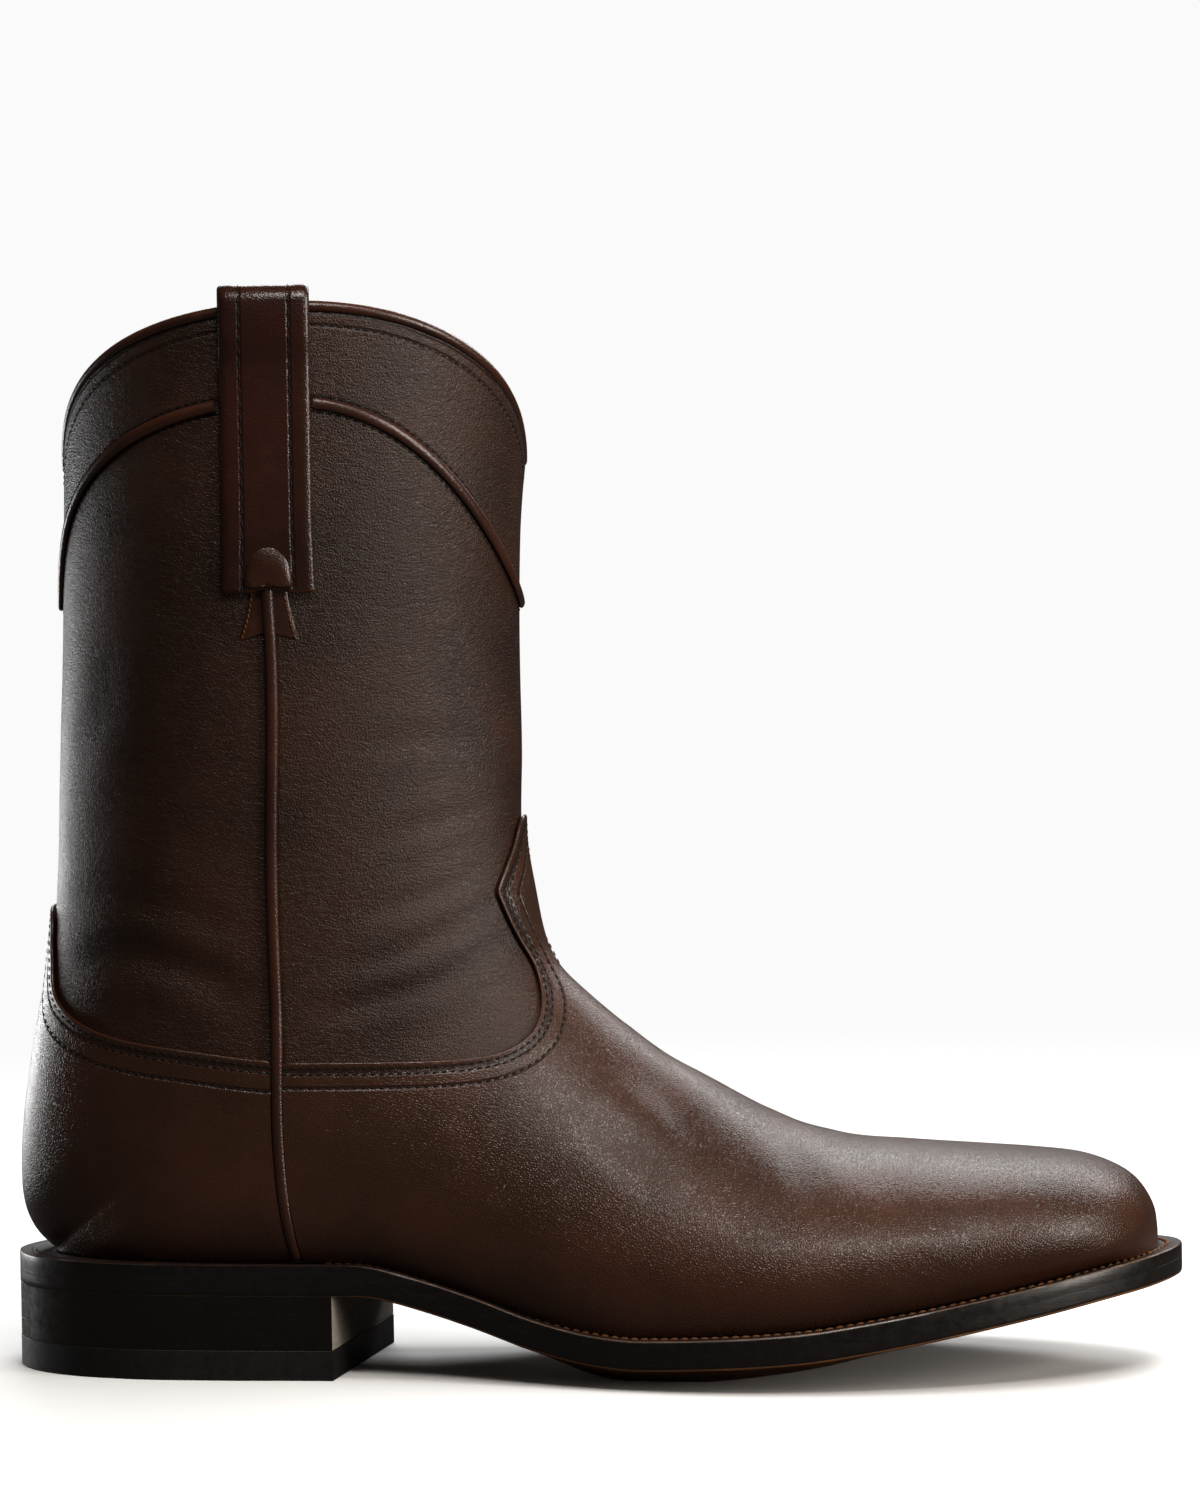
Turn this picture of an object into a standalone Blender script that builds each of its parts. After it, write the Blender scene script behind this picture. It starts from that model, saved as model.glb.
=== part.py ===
"""A roper boot for the right foot: hollow leather upper, welted sole, stacked heel.

The toe points along +X, the outer side of the foot is -Y and +Z is up.  Every size
below is in millimetres, and a mesh is turned to metres when it is made.  The tables hold
shares of the named sizes, one row for each section, station or turn of an edge.
"""

import math

import bmesh
import bpy
import numpy as np
from mathutils import Vector
from mathutils.bvhtree import BVHTree

MM = 0.001

# Driving sizes of the sole
SOLE_LENGTH = 310.0
BALL_WIDTH = 106.0
HEEL_WIDTH = 67.0
TOE_SWING = 5.0
OUTSOLE_THICKNESS = 4.5
WELT_THICKNESS = 3.3
WELT_REACH = 7.3
INSOLE_RISE = 1.6
HEEL_HEIGHT = 22.3
TOP_LIFT_THICKNESS = 8.0
HEEL_LENGTH = 90.0
BREAST_SKEW = 6.0
BALL_EDGE_LIFT = 5.2
TOE_SPRING = 24.0

# Driving sizes of the upper
LEATHER_WALL = 2.0
OVERLAY_THICKNESS = 1.2
INSTEP_RISE = 110.0
SHAFT_BACK = 17.2
SHAFT_DEPTH = 120.6
SHAFT_WIDTH = 100.0
SHAFT_TWIST = 10.0
COLLAR_DIP_HEIGHT = 237.5
COLLAR_RISE = 41.5
YOKE_DROP = 36.0
YOKE_RISE = 56.0

# Driving sizes of the trim
PIPING_WIDTH = 2.6
PIPING_HEIGHT = 1.7
BINDING_WIDTH = 2.8
STRAP_WIDTH = 23.6
STRAP_THICKNESS = 2.0
STRAP_LENGTH = 78.0
STRAP_INNER_LENGTH = 46.0
STRAP_LOOP_RISE = 1.6
STRAP_FOOT_FLARE = 0.05
STRAP_FOOT_LENGTH = 16.0
STRAP_EASE_LENGTH = 6.0

# Clearances between pieces, and how finely the forms are cut
GAP = 0.3
BEAD_GAP = 0.62
STRAP_GAP = 0.5
STAND_GAP = 0.42
INSEAM_WIDTH = 0.8
WELT_SETBACK = 0.4
FEATHER_SLANT = 28.0
FEATHER_ROUNDING = 15.0
HALF_COLUMNS = 14
PLATE_STRIPS = 4

# Shares: where the shaft's twist starts and ends on the way up to the collar's dip, where
# the pull straps sit on the shaft's depth, where along the sole the waist narrows and the
# ball starts, and how much of the sole's crown is worn flat
TWIST_FROM = 0.42
TWIST_TO = 0.85
STRAP_PLACE = 0.441
WAIST_START = 0.29
BALL_START = 0.62
FLAT_SPOT = 0.36

# How the scalloped edges rise from the middle to the sides: the power of the rise in
# front and behind, and how softly the middle is rounded
COLLAR_SCALLOP = (0.85, 0.70, 0.06)
YOKE_SCALLOP = (1.40, 0.62, 0.06)

# Outline of the outsole: share of the length, then the lateral and the medial edge as
# shares of half the girth at that station
OUTLINE = (
    # along  lateral  medial
    (0.018, 0.480, 0.480),
    (0.055, 0.770, 0.770),
    (0.110, 0.945, 0.942),
    (0.190, 1.003, 0.997),
    (0.290, 1.003, 0.937),
    (0.380, 0.977, 0.790),
    (0.460, 0.961, 0.740),
    (0.540, 0.974, 0.795),
    (0.620, 1.008, 0.895),
    (0.700, 1.011, 0.970),
    (0.780, 0.947, 0.945),
    (0.862, 0.800, 0.835),
    (0.932, 0.570, 0.650),
    (0.979, 0.274, 0.430),
)

# Height of the sole's bottom edge: how far a station has risen to the heel seat, and to
# the toe spring, and how deep the sole is crowned below its edge
SOLE_LIFT = (
    # along  heel   toe    crown
    (0.000, 1.000, 0.000, 0.00),
    (0.255, 1.000, 0.000, 0.00),
    (0.314, 1.000, 0.000, 0.00),
    (0.336, 0.930, 0.000, 0.06),
    (0.366, 0.790, 0.000, 0.16),
    (0.413, 0.540, 0.000, 0.34),
    (0.465, 0.235, 0.000, 0.66),
    (0.506, 0.075, 0.000, 1.10),
    (0.545, 0.005, 0.000, 1.25),
    (0.606, 0.000, 0.043, 1.30),
    (0.655, 0.000, 0.090, 1.15),
    (0.702, 0.000, 0.160, 0.95),
    (0.748, 0.000, 0.277, 0.70),
    (0.795, 0.000, 0.410, 0.60),
    (0.842, 0.000, 0.555, 0.50),
    (0.886, 0.000, 0.690, 0.38),
    (0.932, 0.000, 0.835, 0.24),
    (1.000, 0.000, 1.000, 0.10),
)

# Stations at which every sole layer is cut, so that the layers' faces lie parallel.
# The rounded ends follow each layer's own length, the middle the length of the outsole.
HEEL_STATIONS = (0.004, 0.016, 0.036, 0.065, 0.108)
MIDDLE_STATIONS = (
    0.170, 0.240, 0.300, 0.322, 0.342, 0.366, 0.392, 0.420, 0.450, 0.480, 0.510,
    0.540, 0.575, 0.615, 0.655, 0.695, 0.735, 0.775, 0.815, 0.855,
)
TOE_STATIONS = (0.905, 0.932, 0.955, 0.974, 0.988, 0.997)

# Welt reach beyond the feather line, as shares of WELT_REACH
FEATHER_INSET = (
    # along  share
    (0.00, 1.52),
    (0.05, 1.26),
    (0.12, 0.98),
    (0.30, 0.70),
    (0.45, 0.66),
    (0.60, 0.92),
    (0.85, 1.02),
    (1.00, 1.08),
)

# Sections of the foot.  low: where the section stands on the welt, from the back of the
# feather line (0) to its tip (1).  front and rise: its top, from the front of the shaft
# (0) to the toe (1), and above the welt as a share of INSTEP_RISE.  The half widths are
# shares of half the girth.  widest is the height of the widest point, ridge the top's
# shift to the medial side, lower and upper how square the section is below and above.
FOOT_SECTIONS = (
    # low    front   rise    lateral medial  widest ridge  lower upper
    (0.9588, 1.0000, 0.0000, 0.355, 0.480, 0.00, 0.088, 2.0, 2.05),
    (0.9433, 0.9994, 0.0420, 0.447, 0.550, 0.12, 0.086, 2.0, 2.10),
    (0.9244, 0.9933, 0.0910, 0.543, 0.625, 0.18, 0.083, 2.0, 2.15),
    (0.9003, 0.9710, 0.1480, 0.632, 0.690, 0.21, 0.080, 2.0, 2.20),
    (0.8729, 0.9370, 0.1900, 0.710, 0.750, 0.23, 0.078, 2.0, 2.25),
    (0.8402, 0.8850, 0.2300, 0.787, 0.806, 0.24, 0.078, 2.0, 2.25),
    (0.8024, 0.8160, 0.2620, 0.853, 0.850, 0.25, 0.080, 2.0, 2.20),
    (0.7577, 0.7210, 0.2980, 0.908, 0.886, 0.25, 0.084, 2.0, 2.15),
    (0.7062, 0.6130, 0.3380, 0.941, 0.893, 0.25, 0.088, 2.0, 2.08),
    (0.6478, 0.4970, 0.3830, 0.950, 0.872, 0.25, 0.086, 2.0, 2.02),
    (0.5894, 0.3990, 0.4490, 0.925, 0.826, 0.25, 0.080, 2.0, 1.98),
    (0.5275, 0.3080, 0.5220, 0.930, 0.806, 0.25, 0.070, 2.1, 1.96),
    (0.4588, 0.2230, 0.6000, 0.955, 0.830, 0.27, 0.055, 2.2, 1.94),
    (0.3797, 0.1480, 0.6820, 1.010, 0.925, 0.29, 0.038, 2.4, 1.94),
    (0.2973, 0.0880, 0.7460, 1.062, 1.022, 0.32, 0.022, 2.7, 1.96),
    (0.2165, 0.0500, 0.7900, 1.062, 1.040, 0.35, 0.010, 2.9, 2.00),
    (0.1409, 0.0300, 0.8330, 1.066, 1.048, 0.38, 0.004, 2.9, 2.02),
    (0.0859, 0.0190, 0.8800, 1.072, 1.056, 0.41, 0.000, 2.7, 2.04),
    (0.0481, 0.0110, 0.9330, 1.076, 1.064, 0.44, 0.000, 2.5, 2.06),
    (0.0206, 0.0040, 0.9880, 1.080, 1.070, 0.46, 0.000, 2.35, 2.08),
    (0.0060, -0.0030, 1.0400, 1.084, 1.076, 0.47, 0.000, 2.20, 2.08),
    (0.0000, -0.0070, 1.0900, 1.088, 1.082, 0.48, 0.000, 2.08, 2.08),
)

# Sections of the shaft, heel seat to collar.  back: the back line, a share of
# SHAFT_BACK behind or before the top.  low: its height, from the seat (0) to the dip of
# the collar (1).  front and high: the same for the front line, above the last foot
# section.  wide: share of SHAFT_WIDTH.
SHAFT_SECTIONS = (
    # back   low     front   high    wide   widest lower upper
    (0.400, 0.0185, 0.0000, 0.062, 0.726, 0.485, 2.12, 2.08),
    (0.210, 0.0520, 0.0010, 0.130, 0.730, 0.490, 2.20, 2.08),
    (0.165, 0.1020, 0.0030, 0.210, 0.738, 0.495, 2.25, 2.08),
    (0.220, 0.1700, 0.0030, 0.300, 0.752, 0.500, 2.27, 2.08),
    (0.385, 0.2570, 0.0020, 0.410, 0.774, 0.500, 2.27, 2.08),
    (0.620, 0.3580, 0.0020, 0.530, 0.808, 0.500, 2.24, 2.08),
    (0.760, 0.4690, 0.0030, 0.645, 0.852, 0.500, 2.18, 2.08),
    (0.830, 0.5900, 0.0050, 0.745, 0.900, 0.500, 2.15, 2.08),
    (0.905, 0.7250, 0.0080, 0.835, 0.944, 0.500, 2.10, 2.08),
    (0.960, 0.8650, 0.0130, 0.918, 0.976, 0.500, 2.10, 2.08),
    (1.000, 1.0000, 0.0200, 1.000, 1.000, 0.500, 2.10, 2.08),
)

# Top edge of vamp and counter from the side: along as a share of the sole length, up as
# a share of the height of the collar's dip
VAMP_EDGE = (
    # along   up
    (0.4700, 0.6400),
    (0.4480, 0.6200),
    (0.4400, 0.5780),
    (0.4290, 0.5330),
    (0.4440, 0.4860),
    (0.4590, 0.4480),
    (0.4655, 0.4170),
    (0.4640, 0.3930),
    (0.4560, 0.3760),
    (0.4400, 0.3630),
    (0.4180, 0.3560),
    (0.3780, 0.3525),
    (0.3100, 0.3520),
    (0.2000, 0.3530),
)
COUNTER_EDGE = (
    # along   up
    (0.3000, 0.3520),
    (0.2370, 0.3550),
    (0.1800, 0.3640),
    (0.1160, 0.3760),
    (0.0800, 0.3900),
    (0.0560, 0.4090),
    (0.0450, 0.4320),
    (0.0420, 0.4700),
    (0.0370, 0.5150),
    (0.0000, 0.5400),
)

# Side seam before the shaft's twist: along as a share of the sole length, up as a share
# of the height of the collar's dip
SIDE_SEAM = (
    # along   up
    (0.2590, 0.1300),
    (0.2510, 0.2020),
    (0.2480, 0.2570),
    (0.2480, 0.4210),
    (0.2375, 0.6440),
    (0.2262, 0.8630),
)

COLOURS = {
    # piece family: colour, roughness
    "shaft": ((0.040, 0.018, 0.010), 0.42),
    "vamp": ((0.052, 0.023, 0.013), 0.38),
    "trim": ((0.050, 0.014, 0.008), 0.36),
    "welt": ((0.060, 0.028, 0.014), 0.50),
    "sole": ((0.018, 0.014, 0.011), 0.55),
    "heel": ((0.016, 0.010, 0.008), 0.40),
    "lift": ((0.012, 0.012, 0.012), 0.65),
    "insole": ((0.300, 0.190, 0.110), 0.80),
}


def curve_at(knots, values, at):
    """Read a smooth curve through a table's rows at one place or at many."""
    knots = np.asarray(knots, float)
    values = np.asarray(values, float)
    slopes = np.gradient(values, knots)
    left = np.clip(np.searchsorted(knots, at, side="right") - 1, 0, len(knots) - 2)
    span = knots[left + 1] - knots[left]
    t = np.clip((at - knots[left]) / span, 0.0, 1.0)
    return (
        (1 + 2 * t) * (1 - t) ** 2 * values[left]
        + t * (1 - t) ** 2 * span * slopes[left]
        + t * t * (3 - 2 * t) * values[left + 1]
        - t * t * (1 - t) * span * slopes[left + 1]
    )


def column(table, number):
    """One named column of a table."""
    return [row[number] for row in table]


def resample(points, count):
    """Spread count + 1 points evenly along a polyline."""
    steps = np.linalg.norm(np.diff(points, axis=0), axis=1)
    run = np.concatenate([[0.0], np.cumsum(steps)])
    wanted = np.linspace(0.0, run[-1], count + 1)
    return np.stack([np.interp(wanted, run, points[:, k]) for k in range(points.shape[1])], 1)


def half_girth(x):
    """Half of the width that a station follows: the heel's, then the ball's."""
    t = np.clip((x / SOLE_LENGTH - WAIST_START) / (BALL_START - WAIST_START), 0.0, 1.0)
    return 0.5 * (HEEL_WIDTH + (BALL_WIDTH - HEEL_WIDTH) * t * t * (3 - 2 * t))


def outline_loop(samples=720):
    """The outsole's closed outline, heel back first, along the lateral side to the toe."""
    lateral = [(a * SOLE_LENGTH, -s * half_girth(a * SOLE_LENGTH)) for a, s, _ in OUTLINE]
    medial = [(a * SOLE_LENGTH, s * half_girth(a * SOLE_LENGTH)) for a, _, s in OUTLINE]
    corners = [(0.0, 0.0)] + lateral + [(SOLE_LENGTH, TOE_SWING)] + medial[::-1]
    wrapped = np.array(corners[-3:] + corners + corners[:4])
    run = np.concatenate([[0.0], np.cumsum(np.linalg.norm(np.diff(wrapped, axis=0), axis=1))])
    at = np.linspace(run[3], run[3 + len(corners)], samples + 1)[:-1]
    return np.stack([curve_at(run, wrapped[:, 0], at), curve_at(run, wrapped[:, 1], at)], 1)


def inset_loop(loop, distance):
    """Move a closed outline inwards by a distance that may differ from point to point."""
    along = np.roll(loop, -1, axis=0) - np.roll(loop, 1, axis=0)
    inward = np.stack([-along[:, 1], along[:, 0]], 1) / np.linalg.norm(along, axis=1)[:, None]
    return loop + inward * np.reshape(distance, (-1, 1))


def halves(loop, count):
    """The lateral and medial halves of an outline, each from heel back to toe tip."""
    toe = int(loop[:, 0].argmax())
    heel = int(loop[:, 0].argmin())
    lateral = np.roll(loop, -heel, axis=0)[: (toe - heel) % len(loop) + 1]
    medial = np.roll(loop, -toe, axis=0)[: (heel - toe) % len(loop) + 1][::-1]
    return resample(lateral, count), resample(medial, count)


OUTSOLE_LOOP = outline_loop()
FEATHER_LOOP = inset_loop(
    OUTSOLE_LOOP,
    WELT_REACH * curve_at(column(FEATHER_INSET, 0), column(FEATHER_INSET, 1),
                          OUTSOLE_LOOP[:, 0] / SOLE_LENGTH),
)
FEATHER_LATERAL, FEATHER_MEDIAL = halves(FEATHER_LOOP, 400)
FEATHER_TIP = float(FEATHER_LOOP[:, 0].max())
FEATHER_HEEL = float(FEATHER_LOOP[:, 0].min())
SHAFT_FRONT = SHAFT_BACK + SHAFT_DEPTH
SHAFT_AXIS = SHAFT_BACK + 0.5 * SHAFT_DEPTH


def feather_width(x, side):
    """Distance of the feather line from the middle plane; side is -1 lateral, 1 medial."""
    half = FEATHER_LATERAL if side < 0 else FEATHER_MEDIAL
    return abs(float(np.interp(x, half[:, 0], half[:, 1])))


def sole_edge(x):
    """Height of the outsole's bottom at its edge."""
    share = np.asarray(x) / SOLE_LENGTH
    along = column(SOLE_LIFT, 0)
    heel = np.clip(curve_at(along, column(SOLE_LIFT, 1), share), 0.0, 1.0)
    toe = np.clip(curve_at(along, column(SOLE_LIFT, 2), share), 0.0, 1.0)
    return (BALL_EDGE_LIFT + (HEEL_HEIGHT - BALL_EDGE_LIFT) * heel
            + (TOE_SPRING - BALL_EDGE_LIFT) * toe)


def sole_bottom(x, across):
    """Height of the outsole's bottom; across runs from -1 to 1, edge to edge.

    The tread is crowned, and the ball is worn to a flat spot on the floor.
    """
    crown = curve_at(column(SOLE_LIFT, 0), column(SOLE_LIFT, 3), np.asarray(x) / SOLE_LENGTH)
    dome = np.clip((1.0 + FLAT_SPOT) * (1.0 - across * across), 0.0, 1.0)
    return np.maximum(sole_edge(x) - BALL_EDGE_LIFT * crown * dome, 0.0)


def outsole_top(x):
    """Height of the outsole's upper face."""
    return sole_edge(x) + OUTSOLE_THICKNESS


def welt_top(x):
    """Height of the welt's upper face, on which the upper stands."""
    return outsole_top(x) + GAP + WELT_THICKNESS


SEAT = float(welt_top(0.0)) + STAND_GAP


def new_material(family):
    """A plain leather or rubber finish in the family's colour."""
    found = bpy.data.materials.get(family)
    if found:
        return found
    colour, roughness = COLOURS[family]
    made = bpy.data.materials.new(family)
    made.use_nodes = True
    shader = made.node_tree.nodes["Principled BSDF"]
    shader.inputs["Base Color"].default_value = (*colour, 1.0)
    shader.inputs["Roughness"].default_value = roughness
    return made


def add_solid(name, vertices, faces, family, sharp_degrees=40.0):
    """Make one closed body from vertices in millimetres, with its faces turned outwards."""
    mesh = bpy.data.meshes.new(name)
    mesh.from_pydata([tuple(float(c) * MM for c in v) for v in vertices], [], faces)
    work = bmesh.new()
    work.from_mesh(mesh)
    bmesh.ops.recalc_face_normals(work, faces=work.faces)
    work.to_mesh(mesh)
    work.free()
    mesh.shade_smooth()
    mesh.set_sharp_from_angle(angle=math.radians(sharp_degrees))
    made = bpy.data.objects.new(name, mesh)
    made.data.materials.append(new_material(family))
    bpy.context.scene.collection.objects.link(made)
    return made


def station_rows(loop):
    """Cut an outline at the stations: heel point, (lateral, medial) pairs, toe point."""
    lateral, medial = halves(loop, 400)
    start, end = lateral[0], lateral[-1]
    span = end[0] - start[0]
    places = [start[0] + share * span for share in HEEL_STATIONS]
    places += [share * SOLE_LENGTH for share in MIDDLE_STATIONS]
    places += [start[0] + share * span for share in TOE_STATIONS]
    pairs = []
    for x in places:
        near = np.array((x, np.interp(x, lateral[:, 0], lateral[:, 1])))
        far = np.array((x, np.interp(x, medial[:, 0], medial[:, 1])))
        pairs.append((near, far))
    return start, pairs, end


def plate(name, loop, top, bottom, family):
    """A sole layer: an outline filled between an upper and a lower height function."""
    start, pairs, end = station_rows(loop)
    across = np.linspace(-1.0, 1.0, PLATE_STRIPS + 1)
    vertices = []
    faces = []
    layers = []
    for height in (bottom, top):
        grid = []
        for near, far in [(start, start), *pairs, (end, end)]:
            line = []
            for share in across:
                x, y = near + (far - near) * 0.5 * (share + 1.0)
                if near is far:
                    share = 1.0
                if near is not far or not line:
                    vertices.append((x, y, float(height(x, share))))
                line.append(len(vertices) - 1)
            grid.append(line)
        layers.append(grid)
        for first, second in zip(grid, grid[1:]):
            for k in range(PLATE_STRIPS):
                corners = dict.fromkeys((first[k], first[k + 1], second[k + 1], second[k]))
                faces.append(tuple(corners))
    lower, upper = layers
    for k in (0, PLATE_STRIPS):
        for row in range(len(lower) - 1):
            faces.append((lower[row][k], lower[row + 1][k], upper[row + 1][k], upper[row][k]))
    return add_solid(name, vertices, faces, family)


def station_ring(loop):
    """The outline's points at the stations, all the way round."""
    start, pairs, end = station_rows(loop)
    return [start, *(near for near, _ in pairs), end, *(far for _, far in reversed(pairs))]


def ring_band(name, outer, inner, top, bottom, family):
    """A flat band between two outlines, such as the welt."""
    outside = station_ring(outer)
    inside = station_ring(inner)
    count = len(outside)
    corners = ((outside, bottom), (outside, top), (inside, top), (inside, bottom))
    vertices = []
    for k in range(count):
        for edge, height in corners:
            vertices.append((edge[k][0], edge[k][1], float(height(edge[k][0], 1.0))))
    faces = []
    for k in range(count):
        here = 4 * k
        ahead = 4 * ((k + 1) % count)
        for c in range(4):
            d = (c + 1) % 4
            faces.append((here + c, here + d, ahead + d, ahead + c))
    return add_solid(name, vertices, faces, family)


def heel_outline():
    """The heel block's outline: the sole's heel end, closed by the skewed breast."""
    lateral, medial = halves(OUTSOLE_LOOP, 240)
    near = lateral[lateral[:, 0] < HEEL_LENGTH]
    far = medial[medial[:, 0] < HEEL_LENGTH + BREAST_SKEW]
    near = resample(near, 16)
    far = resample(far, 16)
    return np.vstack([near, far[:0:-1]])


def block(name, outline, low, high, family, taper=0.0):
    """An upright slab on an outline; taper draws the bottom in towards the middle."""
    centre = outline.mean(axis=0)
    drawn = centre + (outline - centre) * (1.0 - taper)
    count = len(outline)
    vertices = [(x, y, low) for x, y in drawn] + [(x, y, high) for x, y in outline]
    faces = [tuple(range(count)), tuple(range(count, 2 * count))]
    for k in range(count):
        n = (k + 1) % count
        faces.append((k, n, count + n, count + k))
    return add_solid(name, vertices, faces, family)


def last_foot_row():
    """Place in the sections where the foot ends and the shaft starts."""
    return len(FOOT_SECTIONS) - 1


def section_rows():
    """Every section in millimetres, foot rows first, as rows of plain numbers.

    Columns: low x, low z, top x, top z, lateral, medial, widest, ridge, lower, upper.
    """
    rows = []
    for low, front, rise, lateral, medial, widest, ridge, lower, upper in FOOT_SECTIONS:
        low_x = FEATHER_HEEL + low * (FEATHER_TIP - FEATHER_HEEL)
        top_x = SHAFT_FRONT + front * (FEATHER_TIP - SHAFT_FRONT)
        half = float(half_girth(low_x))
        rows.append((low_x, float(welt_top(low_x)) + STAND_GAP, top_x,
                     float(welt_top(top_x)) + STAND_GAP + rise * INSTEP_RISE,
                     lateral * half, medial * half, widest, ridge * half, lower, upper))
    throat = rows[-1]
    for back, low, front, high, wide, widest, lower, upper in SHAFT_SECTIONS:
        half = 0.5 * wide * SHAFT_WIDTH
        rows.append((back * SHAFT_BACK, SEAT + low * (COLLAR_DIP_HEIGHT - SEAT),
                     throat[2] + front * SHAFT_DEPTH,
                     throat[3] + high * (COLLAR_DIP_HEIGHT - throat[3]),
                     half, half, widest, 0.0, lower, upper))
    return np.array(rows)


SECTIONS = section_rows()
LAST_ROW = len(SECTIONS) - 1


def side_curve(row, side, values):
    """Half a section, from the feather edge or back line to the ridge, as (y, share)."""
    low_x, _, top_x, _, lateral, medial, widest, ridge, lower, upper = values
    feather = 0.0 if row >= last_foot_row() else feather_width(low_x, side)
    half = max(lateral if side < 0 else medial, feather)
    turn = math.radians(90.0 - FEATHER_SLANT * min(feather / FEATHER_ROUNDING, 1.0))
    points = []
    if widest > 0.0:
        out_turn = max(math.cos(turn), 0.0) ** (2.0 / lower)
        for angle in np.linspace(turn, 0.0, 30):
            out = max(math.cos(angle), 0.0) ** (2.0 / lower)
            down = (math.sin(angle) / math.sin(turn)) ** (2.0 / lower)
            points.append((feather + (half - feather) * (out - out_turn) / (1.0 - out_turn),
                           widest * (1.0 - down)))
    else:
        points.append((half, 0.0))
    middle = ridge * side
    for angle in np.linspace(0.0, math.pi / 2, 40)[1:]:
        over = math.cos(angle) ** (2.0 / upper) if angle < math.pi / 2 - 1e-6 else 0.0
        up = math.sin(angle) ** (2.0 / upper)
        points.append((middle + (half - middle) * over, widest + (1.0 - widest) * up))
    return np.array(points)


def scallop(shape, across, in_front):
    """Share of a scalloped edge's rise; across is 0 in the middle and 1 at the sides."""
    front_power, back_power, soft = shape
    rounded = (math.hypot(across, soft) - soft) / (math.hypot(1.0, soft) - soft)
    return rounded ** (front_power if in_front else back_power)


def collar_lift(row, across, in_front):
    """How far the scallop of the collar has raised a point of a shaft section."""
    start = last_foot_row() + 3
    grown = max(row - start, 0.0) / (LAST_ROW - start)
    return grown * grown * COLLAR_RISE * scallop(COLLAR_SCALLOP, across, in_front)


def twist_at(z):
    """How far the shaft has turned at a height, in radians, its front to the medial side."""
    low = TWIST_FROM * COLLAR_DIP_HEIGHT
    high = TWIST_TO * COLLAR_DIP_HEIGHT
    t = min(max((z - low) / (high - low), 0.0), 1.0)
    return math.radians(SHAFT_TWIST) * t * t * (3.0 - 2.0 * t)


def headed(direction, angle):
    """A direction turned about the vertical."""
    x, y, z = direction
    return np.array((x * math.cos(angle) - y * math.sin(angle),
                     x * math.sin(angle) + y * math.cos(angle), z))


def turned(place, angle):
    """A place turned about the shaft's axis."""
    axis = np.array((SHAFT_AXIS, 0.0, 0.0))
    return axis + headed(np.asarray(place) - axis, angle)


def upper_row(row):
    """Points of one section of the upper, lateral edge over the ridge to medial edge."""
    values = [float(curve_at(range(len(SECTIONS)), SECTIONS[:, k], row)) for k in range(10)]
    low_x, low_z, top_x, top_z = values[:4]
    if row <= last_foot_row():
        low_z = float(welt_top(low_x)) + STAND_GAP
    length = math.hypot(top_x - low_x, top_z - low_z)
    line = []
    for side in (-1, 1):
        curve = side_curve(row, side, values)
        scaled = np.stack([curve[:, 0], curve[:, 1] * length], 1)
        even = resample(scaled, HALF_COLUMNS)
        even[:, 1] /= length
        half = [(low_x + (top_x - low_x) * h, side * y, low_z + (top_z - low_z) * h)
                for y, h in even]
        line.extend(half if side < 0 else half[-2::-1])
    if row == 0:
        line = [(x, y, float(welt_top(x)) + STAND_GAP) for x, y, _ in line]
    widest = max(abs(p[1]) for p in line)
    finished = []
    for x, y, z in line:
        place = turned((x, y, z), twist_at(z))
        place[2] += collar_lift(row, abs(y) / widest, x > SHAFT_AXIS)
        finished.append(place)
    return np.array(finished)


def upper_places():
    """Where the upper is cut into sections: closer along the waist, where it bends."""
    places = []
    for row in range(LAST_ROW + 1):
        places.append(float(row))
        if 13 <= row < 15:
            places.extend((row + 1 / 3, row + 2 / 3))
        elif 12 <= row < 16:
            places.append(row + 0.5)
    return places


UPPER_PLACES = upper_places()
UPPER_GRID = np.array([upper_row(place) for place in UPPER_PLACES])
CLOSED_FROM = UPPER_PLACES.index(float(last_foot_row()))


def outward(grid):
    """Outward directions of a grid; near the feather edge they lie level."""
    rows, columns, _ = grid.shape
    along = np.zeros_like(grid)
    across = np.zeros_like(grid)
    along[1:-1] = grid[2:] - grid[:-2]
    along[0] = grid[1] - grid[0]
    along[-1] = grid[-1] - grid[-2]
    across[:, 1:-1] = grid[:, 2:] - grid[:, :-2]
    across[:, 0] = grid[:, 1] - grid[:, 0]
    across[:, -1] = grid[:, -1] - grid[:, -2]
    for row in range(CLOSED_FROM, rows):
        across[row, 0] = across[row, -1] = grid[row, 1] - grid[row, -2]
    normals = np.cross(across, along)
    normals[CLOSED_FROM:, 0] += normals[CLOSED_FROM:, -1]
    normals[CLOSED_FROM:, -1] = normals[CLOSED_FROM:, 0]
    normals[..., 2] = np.maximum(normals[..., 2], 0.0)
    normals[0, :, 2] = 0.0
    normals[:CLOSED_FROM + 1, (0, -1), 2] = 0.0
    return normals / np.linalg.norm(normals, axis=2, keepdims=True)


UPPER_NORMALS = outward(UPPER_GRID)


def form(offset):
    """The upper's outer form moved outwards by an offset, or inwards if it is negative."""
    return UPPER_GRID + UPPER_NORMALS * offset


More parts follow.
